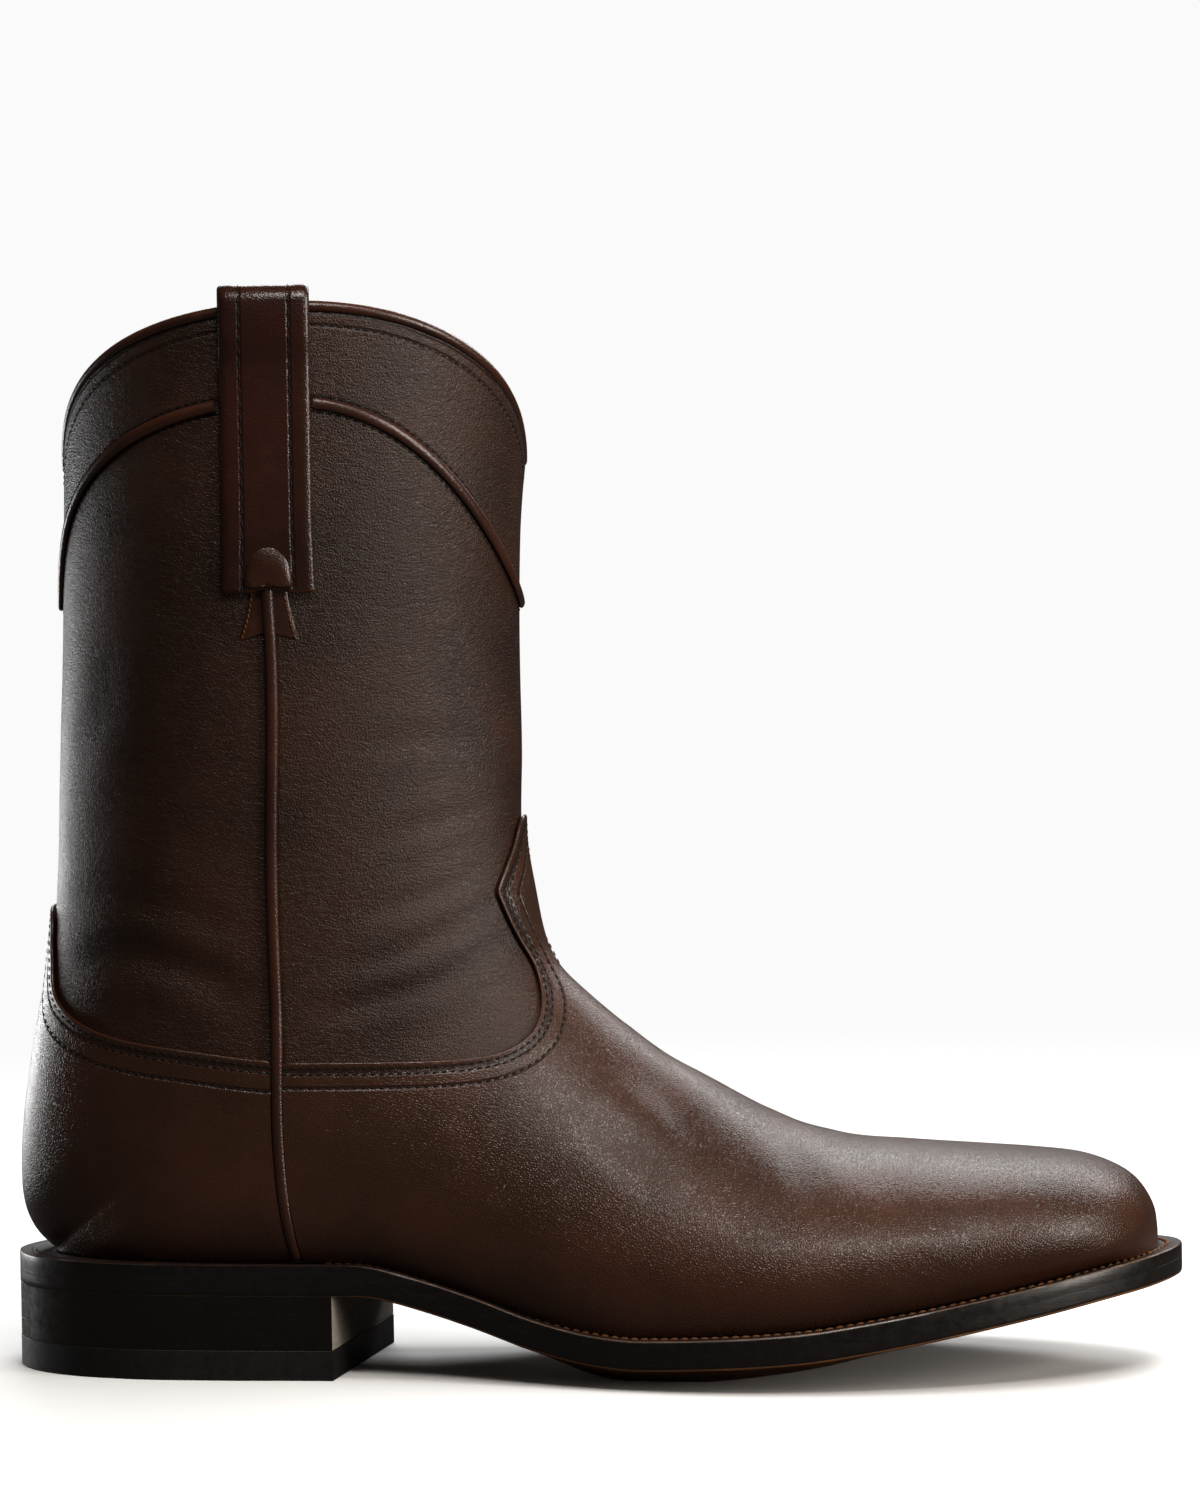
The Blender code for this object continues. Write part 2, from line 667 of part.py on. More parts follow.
def shell(name, outside, inside, first, last, family):
    """A wall between two forms, from one section to another, open at both of its rims."""
    columns = outside.shape[1]
    vertices = []
    index = {}
    for layer, grid in enumerate((outside, inside)):
        for row in range(first, last + 1):
            for c in range(columns):
                if row >= CLOSED_FROM and c == columns - 1:
                    index[layer, row, c] = index[layer, row, 0]
                    continue
                index[layer, row, c] = len(vertices)
                vertices.append(tuple(grid[row, c]))
    faces = []
    for layer in (0, 1):
        for row in range(first, last):
            for c in range(columns - 1):
                corners = dict.fromkeys((index[layer, row, c], index[layer, row, c + 1],
                                         index[layer, row + 1, c + 1], index[layer, row + 1, c]))
                faces.append(tuple(corners))
    for row in (first, last):
        for c in range(columns - 1):
            faces.append((index[0, row, c], index[0, row, c + 1],
                          index[1, row, c + 1], index[1, row, c]))
    for row in range(first, min(last, CLOSED_FROM)):
        for c in (0, columns - 1):
            faces.append((index[0, row, c], index[0, row + 1, c],
                          index[1, row + 1, c], index[1, row, c]))
    return add_solid(name, vertices, faces, family, sharp_degrees=60.0)


def side_prism(name, outline, half_width):
    """A hidden cutter: an outline seen from the side, drawn through from side to side."""
    count = len(outline)
    vertices = [(x, -half_width, z) for x, z in outline]
    vertices += [(x, half_width, z) for x, z in outline]
    faces = [tuple(range(count)), tuple(range(count, 2 * count))]
    for k in range(count):
        n = (k + 1) % count
        faces.append((k, n, count + n, count + k))
    cutter = add_solid(name, vertices, faces, "shaft")
    cutter.hide_render = True
    cutter.display_type = "WIRE"
    return cutter


def keep_inside(piece, cutter):
    """Keep what lies inside the cutter."""
    cut = piece.modifiers.new("edge", "BOOLEAN")
    cut.operation = "INTERSECT"
    cut.solver = "EXACT"
    cut.object = cutter


def edge_line(table, count):
    """A smooth edge through a table of (along, up) shares, in millimetres."""
    knots = np.arange(len(table))
    at = np.linspace(0.0, len(table) - 1.0, count)
    along = curve_at(knots, column(table, 0), at) * SOLE_LENGTH
    up = curve_at(knots, column(table, 1), at) * COLLAR_DIP_HEIGHT
    return list(zip(along, up))


def seam_at(z):
    """Place along the boot of the side seam at a height, before the shaft's twist."""
    up = column(SIDE_SEAM, 1)
    return float(curve_at(up, column(SIDE_SEAM, 0), z / COLLAR_DIP_HEIGHT)) * SOLE_LENGTH


def seam_slot(clear, top):
    """The side seam moved sideways, from below the sole up to a height."""
    places = [(seam_at(z) + clear, z) for z in np.linspace(SEAT, top, 8)]
    return [(places[0][0], -SEAT)] + places


def make_overlays():
    """The vamp and the counter, cut from the slab between two forms of the upper."""
    outer = form(GAP + OVERLAY_THICKNESS)
    inner = form(GAP)
    clear = 0.5 * PIPING_WIDTH + GAP
    beyond = 2.0 * SOLE_LENGTH

    vamp_last = UPPER_PLACES.index(float(last_foot_row() + 2))
    vamp = shell("vamp", outer, inner, 0, vamp_last, "vamp")
    top_edge = [p for p in edge_line(VAMP_EDGE, 40) if p[0] > seam_at(p[1]) + clear]
    seam = seam_slot(clear, top_edge[-1][1])
    throat = top_edge[0][1] + SEAT
    keep_inside(vamp, side_prism(
        "vamp_cutter",
        [(beyond, -SEAT), (beyond, throat), (top_edge[0][0] + SEAT, throat)] + top_edge + seam[::-1],
        BALL_WIDTH))

    counter_first = UPPER_PLACES.index(12.0)
    counter_last = UPPER_PLACES.index(float(last_foot_row() + 8))
    counter = shell("counter", outer, inner, counter_first, counter_last, "vamp")
    heel_edge = [p for p in edge_line(COUNTER_EDGE, 30) if p[0] < seam_at(p[1]) - clear]
    seam = seam_slot(-clear, heel_edge[0][1])
    keep_inside(counter, side_prism(
        "counter_cutter",
        heel_edge + [(-SHAFT_DEPTH, heel_edge[-1][1]), (-SHAFT_DEPTH, -SEAT)] + seam,
        BALL_WIDTH))


def bead(name, centres, outs, width, height, closed, sides=6):
    """An oval bead along a path; outs point away from the surface that carries it."""
    centres = np.array(centres)
    outs = np.array(outs)
    if closed:
        ahead = np.roll(centres, -1, axis=0) - np.roll(centres, 1, axis=0)
    else:
        ahead = np.gradient(centres, axis=0)
    ahead /= np.linalg.norm(ahead, axis=1, keepdims=True)
    outs -= ahead * np.sum(outs * ahead, axis=1, keepdims=True)
    outs /= np.linalg.norm(outs, axis=1, keepdims=True)
    beside = np.cross(ahead, outs)
    vertices = []
    for centre, out, side in zip(centres, outs, beside):
        for k in range(sides):
            angle = 2 * math.pi * (k + 0.5) / sides
            vertices.append(centre + 0.5 * height * math.cos(angle) * out
                            + 0.5 * width * math.sin(angle) * side)
    count = len(centres)
    faces = []
    for ring in range(count if closed else count - 1):
        nxt = (ring + 1) % count
        for k in range(sides):
            n = (k + 1) % sides
            faces.append((ring * sides + k, ring * sides + n, nxt * sides + n, nxt * sides + k))
    if not closed:
        faces.append(tuple(range(sides)))
        faces.append(tuple(range((count - 1) * sides, count * sides)))
    return add_solid(name, vertices, faces, "trim", sharp_degrees=70.0)


class Surface:
    """Finds places on a finished piece, in millimetres."""

    def __init__(self, piece):
        mesh = piece.data
        points = [v.co / MM for v in mesh.vertices]
        polygons = [tuple(p.vertices) for p in mesh.polygons]
        self.tree = BVHTree.FromPolygons(points, polygons)

    def hit(self, start, direction):
        """First point that a ray meets, and the face's normal turned against the ray."""
        heading = Vector(direction).normalized()
        place, normal, _, _ = self.tree.ray_cast(Vector(start), heading)
        if normal.dot(heading) > 0.0:
            normal = -normal
        return np.array(place), np.array(normal)

    def straight_hit(self, start, direction):
        """As hit, for a level ray, with all of it in the frame of the shaft before its twist."""
        angle = twist_at(start[2])
        place, normal = self.hit(turned(start, angle), headed(direction, angle))
        return turned(place, -angle), headed(normal, -angle)

    def outer_side(self, x, z, side):
        """The outer face beside (x, z)."""
        return self.straight_hit((x, side * 2.0 * BALL_WIDTH, z), (0.0, -side, 0.0))

    def inner_side(self, x, z, side):
        """The inner face beside (x, z)."""
        return self.straight_hit((x, 0.0, z), (0.0, side, 0.0))


def piping_place(place, normal):
    """Centre and outward direction of the piping over a place of the straight shaft."""
    level = np.array((normal[0], normal[1], 0.0))
    slope = float(np.linalg.norm(level))
    centre = place + level / slope * (0.5 * PIPING_HEIGHT + BEAD_GAP) / slope
    angle = twist_at(centre[2])
    return turned(centre, angle), headed(level, angle)


def make_side_piping(surface):
    """The two side seams: a bead from the welt to below the pull strap."""
    lowest = SEAT + PIPING_WIDTH
    highest = strap_bottom() - 0.5 * PIPING_WIDTH - GAP
    for name, side in (("side_piping_lateral", -1), ("side_piping_medial", 1)):
        places = [piping_place(*surface.outer_side(seam_at(z), z, side))
                  for z in np.linspace(lowest, highest, 26)]
        bead(name, column(places, 0), column(places, 1), PIPING_WIDTH, PIPING_HEIGHT, False)


def yoke_height(across, in_front):
    """Height of the yoke seam; across is the distance from the middle plane."""
    share = min(across / (0.5 * SHAFT_WIDTH), 1.0)
    return COLLAR_DIP_HEIGHT - YOKE_DROP + YOKE_RISE * scallop(YOKE_SCALLOP, share, in_front)


def make_yoke_piping(surface):
    """The yoke's seam round the shaft, in front of and behind the pull straps."""
    clear = 0.5 * STRAP_WIDTH * (1.0 + STRAP_FOOT_FLARE) + 0.5 * PIPING_WIDTH + GAP
    for name, facing in (("yoke_piping_front", 1), ("yoke_piping_back", -1)):
        places = []
        for turn in np.linspace(-math.pi / 2, math.pi / 2, 41):
            heading = np.array((facing * math.cos(turn), math.sin(turn), 0.0))
            z = yoke_height(0.0, facing > 0)
            for _ in range(6):
                start = np.array((SHAFT_AXIS, 0.0, z)) + heading * 2.0 * SHAFT_DEPTH
                place, normal = surface.straight_hit(start, -heading)
                z = yoke_height(abs(place[1]), facing > 0)
            if facing * (place[0] - strap_middle()) >= clear:
                places.append(piping_place(place, normal))
        bead(name, column(places, 0), column(places, 1), PIPING_WIDTH, PIPING_HEIGHT, False)


def make_collar_binding():
    """The rolled edge that runs on top of the shaft's wall."""
    middle = 0.5 * (form(0.0)[-1] + form(-LEATHER_WALL)[-1])[:-1]
    ahead = np.roll(middle, -1, axis=0) - np.roll(middle, 1, axis=0)
    ahead /= np.linalg.norm(ahead, axis=1, keepdims=True)
    above = np.array((0.0, 0.0, 1.0)) - ahead * ahead[:, 2:]
    above /= np.linalg.norm(above, axis=1, keepdims=True)
    centres = middle + above * (0.5 * BINDING_WIDTH + GAP)
    bead("collar_binding", centres, above, BINDING_WIDTH, BINDING_WIDTH, True)


def strap_middle():
    """Place along the straight shaft of the pull straps."""
    return SHAFT_BACK + STRAP_PLACE * SHAFT_DEPTH


def collar_peak():
    """Height of the shaft's wall at the pull straps."""
    return COLLAR_DIP_HEIGHT + COLLAR_RISE


def strap_bottom():
    """Height of the lower end of the pull straps."""
    return collar_peak() + BINDING_WIDTH + GAP + STRAP_LOOP_RISE + STRAP_THICKNESS - STRAP_LENGTH


def strap_line(surface, side, share):
    """The strap's two faces along one line of it, from its outer to its inner end.

    share runs from -1 at the strap's rear edge to 1 at its front edge.  All of it is in
    the frame of the shaft before its twist.
    """
    outer_rows = 8
    inner_rows = 5
    loop_rows = 6
    proud = 0.5 * (BINDING_WIDTH - LEATHER_WALL) + GAP
    legs_top = collar_peak() - STRAP_EASE_LENGTH
    inner_bottom = collar_peak() - STRAP_INNER_LENGTH
    away = np.array((0.0, side, 0.0))

    def leg(bottom, rows, finder, heading):
        """Places and headings up one leg, easing out to pass the collar's binding."""
        line = []
        for z in np.linspace(bottom, legs_top, rows):
            low = max(strap_bottom() + STRAP_FOOT_LENGTH - z, 0.0) / STRAP_FOOT_LENGTH
            half = 0.5 * STRAP_WIDTH * (1.0 + STRAP_FOOT_FLARE * low)
            place, _ = finder(strap_middle() + share * half, z, side)
            ease = max(1.0 + (z - legs_top) / STRAP_EASE_LENGTH, 0.0)
            line.append((place + heading * (STRAP_GAP + proud * ease), heading))
        return line

    outer = leg(strap_bottom(), outer_rows, surface.outer_side, away)
    inner = leg(inner_bottom, inner_rows, surface.inner_side, -away)
    middle = 0.5 * (outer[-1][0] + inner[-1][0])
    reach = 0.5 * abs(outer[-1][0][1] - inner[-1][0][1])
    middle[2] = collar_peak() + BINDING_WIDTH + 2.0 * GAP + STRAP_LOOP_RISE - reach
    loop = []
    for angle in np.linspace(0.0, math.pi, loop_rows):
        heading = away * math.cos(angle) + np.array((0.0, 0.0, math.sin(angle)))
        loop.append((middle + heading * reach, heading))
    line = outer + loop + inner[::-1]
    return [place for place, _ in line], [place + heading * STRAP_THICKNESS for place, heading in line]


def make_pull_strap(surface, name, side):
    """A strap sewn to the outside, led over the collar and sewn to the inside."""
    lines = [strap_line(surface, side, share) for share in np.linspace(-1.0, 1.0, 5)]
    near = np.array(column(lines, 0))
    far = np.array(column(lines, 1))
    across, along, _ = near.shape
    total = across * along
    straight = np.vstack([near.reshape(-1, 3), far.reshape(-1, 3)])
    vertices = [turned(place, twist_at(place[2])) for place in straight]
    faces = []
    for base in (0, total):
        for a in range(across - 1):
            for b in range(along - 1):
                k = base + a * along + b
                faces.append((k, k + 1, k + along + 1, k + along))
    for b in range(along - 1):
        for a in (0, across - 1):
            k = a * along + b
            faces.append((k, k + 1, total + k + 1, total + k))
    for a in range(across - 1):
        for b in (0, along - 1):
            k = a * along + b
            faces.append((k, k + along, total + k + along, total + k))
    return add_solid(name, vertices, faces, "trim", sharp_degrees=60.0)


def make_sole():
    """Outsole, welt, insole, heel stack and top lift."""
    plate("outsole", OUTSOLE_LOOP, lambda x, across: outsole_top(x), sole_bottom, "sole")
    rim = inset_loop(OUTSOLE_LOOP, np.full(len(OUTSOLE_LOOP), WELT_SETBACK))
    shelf = inset_loop(FEATHER_LOOP, np.full(len(FEATHER_LOOP), LEATHER_WALL + INSEAM_WIDTH))
    ring_band("welt", rim, shelf, lambda x, across: welt_top(x),
              lambda x, across: outsole_top(x) + GAP, "welt")
    bed = inset_loop(shelf, np.full(len(shelf), 2.0 * GAP))
    plate("insole", bed, lambda x, across: welt_top(x) + INSOLE_RISE,
          lambda x, across: outsole_top(x) + GAP, "insole")
    outline = heel_outline()
    block("heel_stack", outline, TOP_LIFT_THICKNESS + GAP, HEEL_HEIGHT - GAP, "heel", taper=0.01)
    block("top_lift", outline, 0.0, TOP_LIFT_THICKNESS, "lift")


def make_upper():
    """The hollow upper: one wall, open at the collar and under the foot."""
    return shell("upper", form(0.0), form(-LEATHER_WALL), 0, len(UPPER_PLACES) - 1, "shaft")


def centre_on_floor():
    """Move every mesh so that the middle of the boot's box stands over the origin."""
    pieces = [o for o in bpy.context.scene.objects if o.type == "MESH"]
    shown = [o for o in pieces if not o.hide_render]
    corners = np.array([v.co for o in shown for v in o.data.vertices])
    low = corners.min(axis=0)
    high = corners.max(axis=0)
    shift = Vector((-0.5 * (low[0] + high[0]), -0.5 * (low[1] + high[1]), -low[2]))
    for piece in pieces:
        for vertex in piece.data.vertices:
            vertex.co += shift


def main():
    """Clear the scene and build the boot."""
    for old in list(bpy.data.objects):
        bpy.data.objects.remove(old, do_unlink=True)
    make_sole()
    surface = Surface(make_upper())
    make_overlays()
    make_side_piping(surface)
    make_yoke_piping(surface)
    make_collar_binding()
    make_pull_strap(surface, "pull_strap_lateral", -1)
    make_pull_strap(surface, "pull_strap_medial", 1)
    centre_on_floor()


main()
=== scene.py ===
"""The looks of a roper boot for the right foot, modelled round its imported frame.

The forms are worked out in millimetres in the boot's own frame: the back of the sole at
x 0, the toe along +X, the outer side of the foot at -Y and the floor at z 0.  Tables hold
shares of the named sizes.  A finished mesh is moved to the frame of the solids in metres.
"""

import logging
import math
from dataclasses import dataclass, field
from enum import Enum
from typing import Callable, Optional, Sequence

import bmesh
import bpy
import numpy as np
from mathutils import Matrix, Vector
from mathutils.bvhtree import BVHTree
from mathutils.kdtree import KDTree


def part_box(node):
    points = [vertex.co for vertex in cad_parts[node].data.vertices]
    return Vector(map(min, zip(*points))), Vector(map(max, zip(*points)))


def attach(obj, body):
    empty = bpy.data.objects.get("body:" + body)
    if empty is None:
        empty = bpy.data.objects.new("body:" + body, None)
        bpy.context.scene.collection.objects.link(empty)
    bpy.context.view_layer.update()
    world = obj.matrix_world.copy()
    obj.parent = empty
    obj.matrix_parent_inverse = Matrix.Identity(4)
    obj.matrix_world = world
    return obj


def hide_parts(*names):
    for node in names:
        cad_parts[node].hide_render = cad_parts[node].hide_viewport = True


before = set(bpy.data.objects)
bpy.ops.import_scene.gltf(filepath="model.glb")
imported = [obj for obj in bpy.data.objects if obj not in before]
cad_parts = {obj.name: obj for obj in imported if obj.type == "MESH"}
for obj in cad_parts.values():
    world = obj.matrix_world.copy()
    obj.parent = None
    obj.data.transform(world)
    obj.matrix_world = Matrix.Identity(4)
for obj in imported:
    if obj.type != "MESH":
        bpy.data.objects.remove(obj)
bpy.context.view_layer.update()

LOG = logging.getLogger("boot")
MM = 0.001
LATERAL = -1
MEDIAL = 1

# Where rays towards the skin start, well outside the boot, in millimetres
RAY_REACH = 300.0

Height = Callable[[np.ndarray, np.ndarray], np.ndarray]
Inset = float | Callable[[np.ndarray], np.ndarray]

# Outline of the outsole: share of the length, then the lateral and the medial edge as
# shares of half the girth at that station
OUTLINE = (
    # along  lateral  medial
    (0.018, 0.480, 0.480),
    (0.055, 0.770, 0.770),
    (0.110, 0.945, 0.942),
    (0.190, 1.003, 0.997),
    (0.290, 1.003, 0.937),
    (0.380, 0.977, 0.790),
    (0.460, 0.961, 0.740),
    (0.540, 0.974, 0.795),
    (0.620, 1.008, 0.895),
    (0.700, 1.011, 0.970),
    (0.780, 0.947, 0.945),
    (0.862, 0.800, 0.835),
    (0.932, 0.570, 0.650),
    (0.979, 0.274, 0.430),
)

# Height of the sole's bottom edge: how far a station has risen to the heel seat, and to
# the toe spring, and how deep the sole is crowned below its edge
SOLE_LIFT = (
    # along  heel   toe    crown
    (0.000, 1.000, 0.000, 0.00),
    (0.255, 1.000, 0.000, 0.00),
    (0.314, 1.000, 0.000, 0.00),
    (0.336, 0.930, 0.000, 0.06),
    (0.366, 0.790, 0.000, 0.16),
    (0.413, 0.540, 0.000, 0.34),
    (0.465, 0.235, 0.000, 0.66),
    (0.506, 0.075, 0.000, 1.10),
    (0.545, 0.005, 0.000, 1.25),
    (0.606, 0.000, 0.043, 1.30),
    (0.655, 0.000, 0.090, 1.15),
    (0.702, 0.000, 0.160, 0.95),
    (0.748, 0.000, 0.277, 0.70),
    (0.795, 0.000, 0.410, 0.60),
    (0.842, 0.000, 0.555, 0.50),
    (0.886, 0.000, 0.690, 0.38),
    (0.932, 0.000, 0.835, 0.24),
    (1.000, 0.000, 1.000, 0.10),
)

# Welt reach beyond the feather line, as shares of the welt's reach
FEATHER_INSET = (
    # along  share
    (0.00, 1.52),
    (0.05, 1.26),
    (0.12, 0.98),
    (0.30, 0.70),
    (0.45, 0.66),
    (0.60, 0.92),
    (0.85, 1.02),
    (1.00, 1.08),
)

# Sections of the foot: where each stands on the feather line and where its top lies on the
# instep, its half widths, the height of its widest point, the ridge's shift to the medial
# side, and how square it is below and above
FOOT_SECTIONS = (
    # low    front   rise    lateral medial  widest ridge  lower upper
    (0.9588, 1.0000, 0.0000, 0.355, 0.480, 0.00, 0.088, 2.0, 2.05),
    (0.9433, 0.9994, 0.0420, 0.447, 0.550, 0.12, 0.086, 2.0, 2.10),
    (0.9244, 0.9933, 0.0910, 0.543, 0.625, 0.18, 0.083, 2.0, 2.15),
    (0.9003, 0.9710, 0.1480, 0.632, 0.690, 0.21, 0.080, 2.0, 2.20),
    (0.8729, 0.9370, 0.1900, 0.710, 0.750, 0.23, 0.078, 2.0, 2.25),
    (0.8402, 0.8850, 0.2300, 0.787, 0.806, 0.24, 0.078, 2.0, 2.25),
    (0.8024, 0.8160, 0.2620, 0.853, 0.850, 0.25, 0.080, 2.0, 2.20),
    (0.7577, 0.7210, 0.2980, 0.908, 0.886, 0.25, 0.084, 2.0, 2.15),
    (0.7062, 0.6130, 0.3380, 0.941, 0.893, 0.25, 0.088, 2.0, 2.08),
    (0.6478, 0.4970, 0.3830, 0.950, 0.872, 0.25, 0.086, 2.0, 2.02),
    (0.5894, 0.3990, 0.4490, 0.925, 0.826, 0.25, 0.080, 2.0, 1.98),
    (0.5275, 0.3080, 0.5220, 0.930, 0.806, 0.25, 0.070, 2.1, 1.96),
    (0.4588, 0.2230, 0.6000, 0.955, 0.830, 0.27, 0.055, 2.2, 1.94),
    (0.3797, 0.1480, 0.6820, 1.010, 0.925, 0.29, 0.038, 2.4, 1.94),
    (0.2973, 0.0880, 0.7460, 1.062, 1.022, 0.32, 0.022, 2.7, 1.96),
    (0.2165, 0.0500, 0.7900, 1.062, 1.040, 0.35, 0.010, 2.9, 2.00),
    (0.1409, 0.0300, 0.8330, 1.066, 1.048, 0.38, 0.004, 2.9, 2.02),
    (0.0859, 0.0190, 0.8800, 1.072, 1.056, 0.41, 0.000, 2.7, 2.04),
    (0.0481, 0.0110, 0.9330, 1.076, 1.064, 0.44, 0.000, 2.5, 2.06),
    (0.0206, 0.0040, 0.9880, 1.080, 1.070, 0.46, 0.000, 2.35, 2.08),
    (0.0060, -0.0030, 1.0400, 1.084, 1.076, 0.47, 0.000, 2.20, 2.08),
    (0.0000, -0.0070, 1.0900, 1.088, 1.082, 0.48, 0.000, 2.08, 2.08),
)

# Sections of the shaft, heel seat to collar: the back line and its height, the front line
# and its height, the width, and the shape as in the foot's table
SHAFT_SECTIONS = (
    # back   low     front   high    wide   widest lower upper
    (0.400, 0.0185, 0.0000, 0.062, 0.726, 0.485, 2.12, 2.08),
    (0.210, 0.0520, 0.0010, 0.130, 0.730, 0.490, 2.20, 2.08),
    (0.165, 0.1020, 0.0030, 0.210, 0.738, 0.495, 2.25, 2.08),
    (0.220, 0.1700, 0.0030, 0.300, 0.752, 0.500, 2.27, 2.08),
    (0.385, 0.2570, 0.0020, 0.410, 0.774, 0.500, 2.27, 2.08),
    (0.620, 0.3580, 0.0020, 0.530, 0.808, 0.500, 2.24, 2.08),
    (0.760, 0.4690, 0.0030, 0.645, 0.852, 0.500, 2.18, 2.08),
    (0.830, 0.5900, 0.0050, 0.745, 0.900, 0.500, 2.15, 2.08),
    (0.905, 0.7250, 0.0080, 0.835, 0.944, 0.500, 2.10, 2.08),
    (0.960, 0.8650, 0.0130, 0.918, 0.976, 0.500, 2.10, 2.08),
    (1.000, 1.0000, 0.0200, 1.000, 1.000, 0.500, 2.10, 2.08),
)

# Top edge of vamp and counter from the side: along as a share of the sole's length, up as
# a share of the height of the collar's dip
VAMP_EDGE = (
    # along   up
    (0.4700, 0.6400),
    (0.4480, 0.6200),
    (0.4400, 0.5780),
    (0.4290, 0.5330),
    (0.4440, 0.4860),
    (0.4590, 0.4480),
    (0.4655, 0.4170),
    (0.4640, 0.3930),
    (0.4560, 0.3760),
    (0.4400, 0.3630),
    (0.4180, 0.3560),
    (0.3780, 0.3525),
    (0.3100, 0.3520),
    (0.2000, 0.3530),
)
COUNTER_EDGE = (
    # along   up
    (0.3000, 0.3520),
    (0.2370, 0.3550),
    (0.1800, 0.3640),
    (0.1160, 0.3760),
    (0.0800, 0.3900),
    (0.0560, 0.4090),
    (0.0450, 0.4320),
    (0.0420, 0.4700),
    (0.0370, 0.5150),
    (0.0000, 0.5400),
)

# Row of the vamp's edge where it turns a sharp corner
VAMP_CORNER = 3

# Side seam before the shaft's twist, in the same shares
SIDE_SEAM = (
    # along   up
    (0.2590, 0.1300),
    (0.2510, 0.2020),
    (0.2480, 0.2570),
    (0.2480, 0.4210),
    (0.2375, 0.6440),
    (0.2262, 0.8630),
)


def curve_at(knots: Sequence[float], values: Sequence[float], at: np.ndarray) -> np.ndarray:
    """Read a smooth curve through a table's rows.

    Args:
        knots: the rows' places, rising.
        values: the rows' values.
        at: the places to read.

    Returns:
        The curve's values there.
    """
    knots = np.asarray(knots, float)
    values = np.asarray(values, float)
    slopes = np.gradient(values, knots)
    left = np.clip(np.searchsorted(knots, at, side="right") - 1, 0, len(knots) - 2)
    span = knots[left + 1] - knots[left]
    t = np.clip((at - knots[left]) / span, 0.0, 1.0)
    return (
        (1 + 2 * t) * (1 - t) ** 2 * values[left]
        + t * (1 - t) ** 2 * span * slopes[left]
        + t * t * (3 - 2 * t) * values[left + 1]
        - t * t * (1 - t) * span * slopes[left + 1]
    )


def column(table: Sequence[Sequence[float]], number: int) -> list[float]:
    """One named column of a table."""
    return [row[number] for row in table]


def run_along(points: np.ndarray) -> np.ndarray:
    """Length of a polyline from its start to each of its points."""
    return np.concatenate([[0.0], np.cumsum(np.linalg.norm(np.diff(points, axis=0), axis=1))])


def resample(points: np.ndarray, count: int) -> np.ndarray:
    """Spread count + 1 points evenly along a polyline."""
    run = run_along(points)
    wanted = np.linspace(0.0, run[-1], count + 1)
    return np.stack([np.interp(wanted, run, points[:, k]) for k in range(points.shape[1])], 1)


def unit(vectors: np.ndarray) -> np.ndarray:
    """Each row of an array brought to length one."""
    return vectors / np.maximum(np.linalg.norm(vectors, axis=-1, keepdims=True), 1e-9)


def inset_loop(loop: np.ndarray, distance: np.ndarray | float) -> np.ndarray:
    """Move a closed outline inwards by a distance, which may differ from point to point."""
    along = np.roll(loop, -1, axis=0) - np.roll(loop, 1, axis=0)
    inward = unit(np.stack([-along[:, 1], along[:, 0]], 1))
    return loop + inward * np.reshape(np.broadcast_to(distance, len(loop)), (-1, 1))


def halves(loop: np.ndarray, count: int) -> tuple[np.ndarray, np.ndarray]:
    """The lateral and medial halves of an outline, each from heel back to toe tip."""
    toe = int(loop[:, 0].argmax())
    heel = int(loop[:, 0].argmin())
    lateral = np.roll(loop, -heel, axis=0)[: (toe - heel) % len(loop) + 1]
    medial = np.roll(loop, -toe, axis=0)[: (heel - toe) % len(loop) + 1][::-1]
    return resample(lateral, count), resample(medial, count)


@dataclass(frozen=True)
class Scallop:
    """How a scalloped edge rises from the middle to the sides."""

    front_power: float
    back_power: float
    softness: float = 0.06

    def share(self, across: np.ndarray, in_front: np.ndarray) -> np.ndarray:
        """Share of the rise; across is 0 in the middle of the boot and 1 at its sides."""
        soft = self.softness
        rounded = (np.hypot(across, soft) - soft) / (math.hypot(1.0, soft) - soft)
        return rounded ** np.where(in_front, self.front_power, self.back_power)


